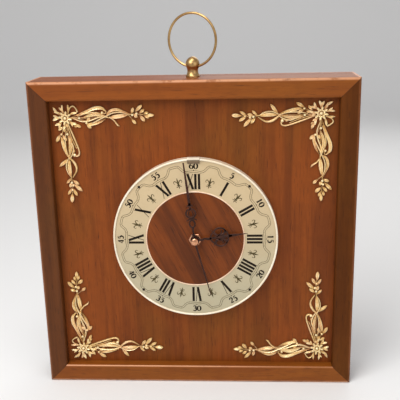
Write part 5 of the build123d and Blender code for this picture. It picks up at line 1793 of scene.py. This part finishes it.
@dataclass
class Hands:
    """Stamped bronze hands with pierced scrolls, and the brass parts at the hub."""

    materials: dict[str, bpy.types.Material]
    hour_back: float = -26.2
    minute_back: float = -28.1
    second_back: float = -30.4
    thick: float = 0.5
    hour_turn: float = 82.0
    minute_turn: float = -6.8
    second_turn: float = 165.0

    def build(self) -> None:
        """Make the three hands and dress the hub."""
        bronze = self.materials["hand_bronze"]
        hour = on_front(joined(self.hour_hand()), self.hour_back, self.hour_turn)
        place(make_piece("pierced_hour_hand", hour, bronze, 30), "hour_train", "bronze_hand", "hour_hand")
        minute = on_front(joined(self.minute_hand()), self.minute_back, self.minute_turn)
        place(
            make_piece("pierced_minute_hand", minute, bronze, 30),
            "minute_train",
            "bronze_hand",
            "minute_hand",
        )
        second = on_front(joined(self.second_hand()), self.second_back, self.second_turn)
        place(
            make_piece("slim_second_hand", second, bronze, 30),
            "second_train",
            "bronze_hand",
            "second_hand",
        )
        dress(self.materials, "brass_hub", "dial_nut", "hand_nut", "second_hand_cap", "centre_bushing")
        dress(self.materials, "brass_turned", "minute_arbor")

    def collar(self, inner: float, outer: float, thick: float) -> Surface:
        """Turn the flat boss round the hub's hole."""
        outline = [
            (inner, 0), (inner, thick), (outer - 0.15, thick), (outer, thick - 0.12), (outer, 0),
            (inner, 0),
        ]
        return turned(outline, 48)

    def bar(self, points: Sequence[Flat], widths: Sequence[float], thick: float | None = None) -> Surface:
        """Cut one flat stroke of a hand."""
        return stroke(points, widths, thick or self.thick, 0.0, Section.PLATE, 24)

    def hour_hand(self) -> list[Surface]:
        """Shape the hour hand: a wavy stem, two pierced lobes and a thin spear.

        Returns:
            Its closed forms.
        """
        forms = [self.collar(2.72, 4.4, self.thick)]
        forms.append(
            self.bar([(0, 4.0), (0.5, 6.5), (-0.4, 9.5), (0.3, 12.5), (0, 16)], [1.6, 2.6, 1.5, 2.5, 1.8])
        )
        for side in (-1, 1):
            forms.append(hoop((side * 5.3, 24.6), (4.5, 6.3), (2.7, 4.4), side * 0.3, self.thick))
            forms.append(
                self.bar(
                    [(0, 14.6), (side * 3.2, 16.2), (side * 5.8, 18.2), (side * 8.6, 16.6)],
                    [1.8, 1.5, 1.4, 0.3],
                )
            )
            forms.append(
                self.bar(
                    [(side * 7.0, 29.4), (side * 4.2, 31.4), (side * 1.6, 32.2), (0, 35.5)],
                    [1.0, 1.8, 1.6, 0.6],
                )
            )
            forms.append(
                self.bar(
                    [(side * 0.5, 21.0), (side * 2.4, 24.0), (side * 5.0, 26.6), (side * 7.4, 25.8)],
                    [0.9, 1.2, 1.1, 0.4],
                )
            )
        forms.append(
            self.bar([(0, 15.5), (0, 21.0), (0, 26.0), (0, 31.0), (0, 36.0)], [1.4, 2.2, 3.4, 2.4, 2.0])
        )
        forms.append(self.bar([(0, 33.0), (0, 40.0), (0, 51.0)], [3.0, 2.0, 0.25]))
        return forms

    def minute_hand(self) -> list[Surface]:
        """Shape the minute hand: a small loop, a round eye, side knobs and a long narrow blade.

        Returns:
            Its closed forms.
        """
        forms = [self.collar(1.85, 3.8, self.thick)]
        forms.append(self.bar([(0, 3.4), (0.3, 6.0), (-0.3, 9.0), (0, 13.4)], [1.6, 2.4, 1.4, 2.2]))
        forms.append(hoop((0, 17.4), (3.3, 4.3), (1.8, 2.8), 0, self.thick))
        forms.append(hoop((0, 27.8), (5.3, 5.3), (3.6, 3.6), 0, self.thick))
        for side in (-1, 1):
            forms.append(self.bar([(0, 22.4), (side * 2.6, 22.0), (side * 5.2, 20.6)], [1.6, 1.6, 0.4]))
            forms.append(self.bar([(0, 36.4), (side * 1.8, 35.6), (side * 2.9, 34.0)], [1.8, 1.5, 0.5]))
            forms.append(
                self.bar(
                    [(side * 0.4, 24.4), (side * 2.2, 26.6), (side * 1.6, 29.6), (0, 31.4)],
                    [0.6, 0.9, 0.9, 0.5],
                )
            )
        forms.append(self.bar([(0, 32.0), (0, 34.0), (0, 38.0)], [2.0, 2.6, 2.4]))
        forms.append(self.bar([(0, 36.0), (0, 56.0), (0, 77.3)], [2.6, 2.1, 1.3]))
        return forms

    def second_hand(self) -> list[Surface]:
        """Shape the second hand: a thin taper with a short tail.

        Returns:
            Its closed forms.
        """
        return [
            self.collar(0.75, 2.2, 0.3),
            self.bar([(0, 1.6), (0, 28.0), (0, 56.5)], [2.0, 1.4, 0.8], 0.3),
            self.bar([(0, -8.0), (0, -4.0), (0, -1.4)], [1.2, 1.3, 1.5], 0.3),
        ]


@dataclass
class Movement:
    """The quartz movement behind the panel, its wheels and its cell."""

    materials: dict[str, bpy.types.Material]
    rear_face: float = 8.5
    mark_high: float = 0.35
    arrow_radius: float = 8.8
    arrow_turn: float = -50.0
    cell_marks: Flat = (17.5, -9.2)

    def build(self) -> None:
        """Dress the movement's parts and add the raised marks on its rear shell."""
        marks = joined([*self.setting_arrow(), *self.cell_signs(), *self.grip_ribs()])
        upright = on_front(marks, -self.rear_face, 0.0)
        facing_back = Surface(upright.points * np.array([-1.0, -1.0, 1.0]), upright.faces)
        piece = make_piece("rear_shell_marks", facing_back, self.materials["moulded_black"], 30)
        place(piece, "case", "black_plastic")
        wheels = (
            "hour_wheel", "minute_wheel", "centre_wheel", "third_wheel", "intermediate_wheel",
            "second_wheel",
        )
        table = {
            "moulded_black": ("movement_front_case", "movement_rear_case"),
            "moulded_natural": ("middle_plate", "coil_bobbin"),
            "wheel_white": wheels,
            "steel_bright": ("set_arbor", "quartz_crystal"),
            "steel_zinc": ("movement_screws", "negative_contact", "positive_contact"),
            "magnet_grey": ("rotor",),
            "stator_layers": ("stator",),
            "copper_turns": ("coil_winding",),
            "board_green": ("circuit_board",),
            "resin_black": ("timing_chip",),
            "gasket_rubber": ("movement_gasket",),
            "knob_ivory": ("set_knob",),
            "cell_jacket": ("battery",),
        }
        for finish, nodes in table.items():
            dress(self.materials, finish, *nodes)
        LOG.info("movement dressed")

    def raised(self, points: Sequence[Flat], width: float) -> Surface:
        """Raise a flat line of even width on the shell."""
        return stroke(points, [width, width], self.mark_high, -0.1, Section.PLATE, 20)

    def setting_arrow(self) -> list[Surface]:
        """Draw a double-ended arrow over the setting knob: part of a circle with two strokes at each end.

        Returns:
            Its closed forms, seen from behind.
        """
        corners = np.array(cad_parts["set_knob"].bound_box)
        middle = (corners.min(axis=0) + corners.max(axis=0)) / 2 / MM
        x, z = -middle[0], middle[2] - CENTRE_Z

        def at(clock: float, radius: float) -> Flat:
            """Give the point at a clock angle and radius about the knob."""
            a = math.radians(clock + self.arrow_turn)
            return (x + radius * math.sin(a), z + radius * math.cos(a))

        forms = [self.raised([at(clock, self.arrow_radius) for clock in (-52, -26, 0, 26, 52)], 0.8)]
        for side in (-1, 1):
            tip = at(side * 60, self.arrow_radius)
            for radius in (self.arrow_radius - 1.6, self.arrow_radius + 1.6):
                forms.append(self.raised([tip, at(side * 46, radius)], 0.7))
        return forms

    def cell_signs(self) -> list[Surface]:
        """Draw a plus and a minus over the ends of the battery bay, seen from behind."""
        x, z = self.cell_marks
        plus = [
            self.raised([(x - 1.6, z), (x + 1.6, z)], 0.8), self.raised([(x, z - 1.6), (x, z + 1.6)], 0.8)
        ]
        return [*plus, self.raised([(-x - 1.6, z), (-x + 1.6, z)], 0.8)]

    def grip_ribs(self) -> list[Surface]:
        """Draw four short ribs in a row in the middle of the shell, seen from behind."""
        return [self.raised([(-7.5, up), (7.5, up)], 0.9) for up in (-9.6, -7.4, -5.2, -3.0)]


@dataclass
class Studio:
    """The pale floor and backdrop, the soft lamps and the camera."""

    place: tuple[float, float, float] = (0.04457, -0.65962, 0.37226)
    tilt: float = 15.795
    yaw: float = -3.515
    roll: float = -1.301
    lens: float = 62.95

    def build(self) -> None:
        """Set up the floor, light and camera."""
        self.sweep()
        self.lamp("window_lamp", (-0.5, -0.75, 0.95), (0, 0, 0.18), 0.7, 8.0)
        self.lamp("overhead_lamp", (-0.08, -0.3, 1.2), (0, 0, 0.2), 0.4, 4.0)
        self.lamp("fill_lamp", (0.95, -0.95, 0.45), (0, 0, 0.15), 1.0, 2.5)
        self.lamp("back_lamp", (0.25, 1.1, 0.95), (0, 0, 0.15), 0.9, 4.0)
        self.sky()
        self.camera()

    def sweep(self) -> None:
        """Lay a floor that curves up into a backdrop: a quarter circle between two straight runs."""
        angle = np.linspace(-math.pi / 2, 0, 13)
        arc = [(1600 + 500 * math.cos(a), 500 + 500 * math.sin(a)) for a in angle]
        profile = np.array([(-2600, 0), *arc, (2100, 2600)])
        x = np.array([-3000.0, 3000.0])[:, None]
        points = np.stack(
            [x + 0 * profile[:, 0], profile[:, 0] + 0 * x, profile[:, 1] + 0 * x - 0.05], axis=-1
        )
        material = bpy.data.materials.new("studio_paper")
        material.use_nodes = True
        shader = material.node_tree.nodes["Principled BSDF"]
        shader.inputs["Base Color"].default_value = (0.83, 0.82, 0.80, 1)
        shader.inputs["Roughness"].default_value = 0.9
        floor = make_piece("studio_floor", grid_surface(points), material)

    def lamp(
        self, name: str, spot: Sequence[float], target: Sequence[float], size: float, power: float
    ) -> None:
        """Hang a soft square lamp.

        Args:
            name: Its name.
            spot: Where it is, in metres.
            target: What it points at.
            size: Its side in metres.
            power: Its power in watts.
        """
        light = bpy.data.lights.new(name, "AREA")
        light.size = size
        light.energy = power
        lamp = bpy.data.objects.new(name, light)
        away = np.array(spot, float) - np.array(target, float)
        back = away / np.linalg.norm(away)
        right = np.cross((0, 0, 1), back)
        right /= np.linalg.norm(right)
        frame_axes = np.stack([right, np.cross(back, right), back], axis=1)
        matrix = np.eye(4)
        matrix[:3, :3] = frame_axes
        matrix[:3, 3] = spot
        lamp.matrix_world = Matrix(matrix.tolist())
        bpy.context.scene.collection.objects.link(lamp)

    def sky(self) -> None:
        """Light the room evenly with a pale sky."""
        world = bpy.data.worlds.new("room")
        world.use_nodes = True
        world.node_tree.nodes["Background"].inputs[0].default_value = (0.95, 0.96, 1.0, 1)
        world.node_tree.nodes["Background"].inputs[1].default_value = 0.5
        bpy.context.scene.world = world

    def camera(self) -> None:
        """Stand the camera where the photograph was taken from."""
        tilt, yaw, roll = (math.radians(v) for v in (self.tilt, self.yaw, self.roll))
        forward = np.array(
            [math.sin(yaw) * math.cos(tilt), math.cos(yaw) * math.cos(tilt), -math.sin(tilt)]
        )
        right = np.array([math.cos(yaw), -math.sin(yaw), 0.0])
        up = np.cross(right, forward)
        matrix = np.eye(4)
        matrix[:3, 0] = right * math.cos(roll) + up * math.sin(roll)
        matrix[:3, 1] = -right * math.sin(roll) + up * math.cos(roll)
        matrix[:3, 2] = -forward
        matrix[:3, 3] = self.place
        data = bpy.data.cameras.new("camera")
        data.lens = self.lens
        data.sensor_width = 36
        data.sensor_fit = "HORIZONTAL"
        camera = bpy.data.objects.new("camera", data)
        camera.matrix_world = Matrix(matrix.tolist())
        bpy.context.scene.collection.objects.link(camera)
        bpy.context.scene.camera = camera


def main() -> None:
    """Build the clock's looks, one assembly after another, then the studio."""
    logging.basicConfig(level=logging.INFO, format="%(message)s")
    bpy.context.scene.view_settings.view_transform = "Standard"
    materials = finishes()
    for assembly in (Case, HangingRing, CornerCastings, Dial, Hands, Movement):
        LOG.info("building %s", assembly.__name__)
        assembly(materials).build()
    Studio().build()


if __name__ == "__main__":
    main()
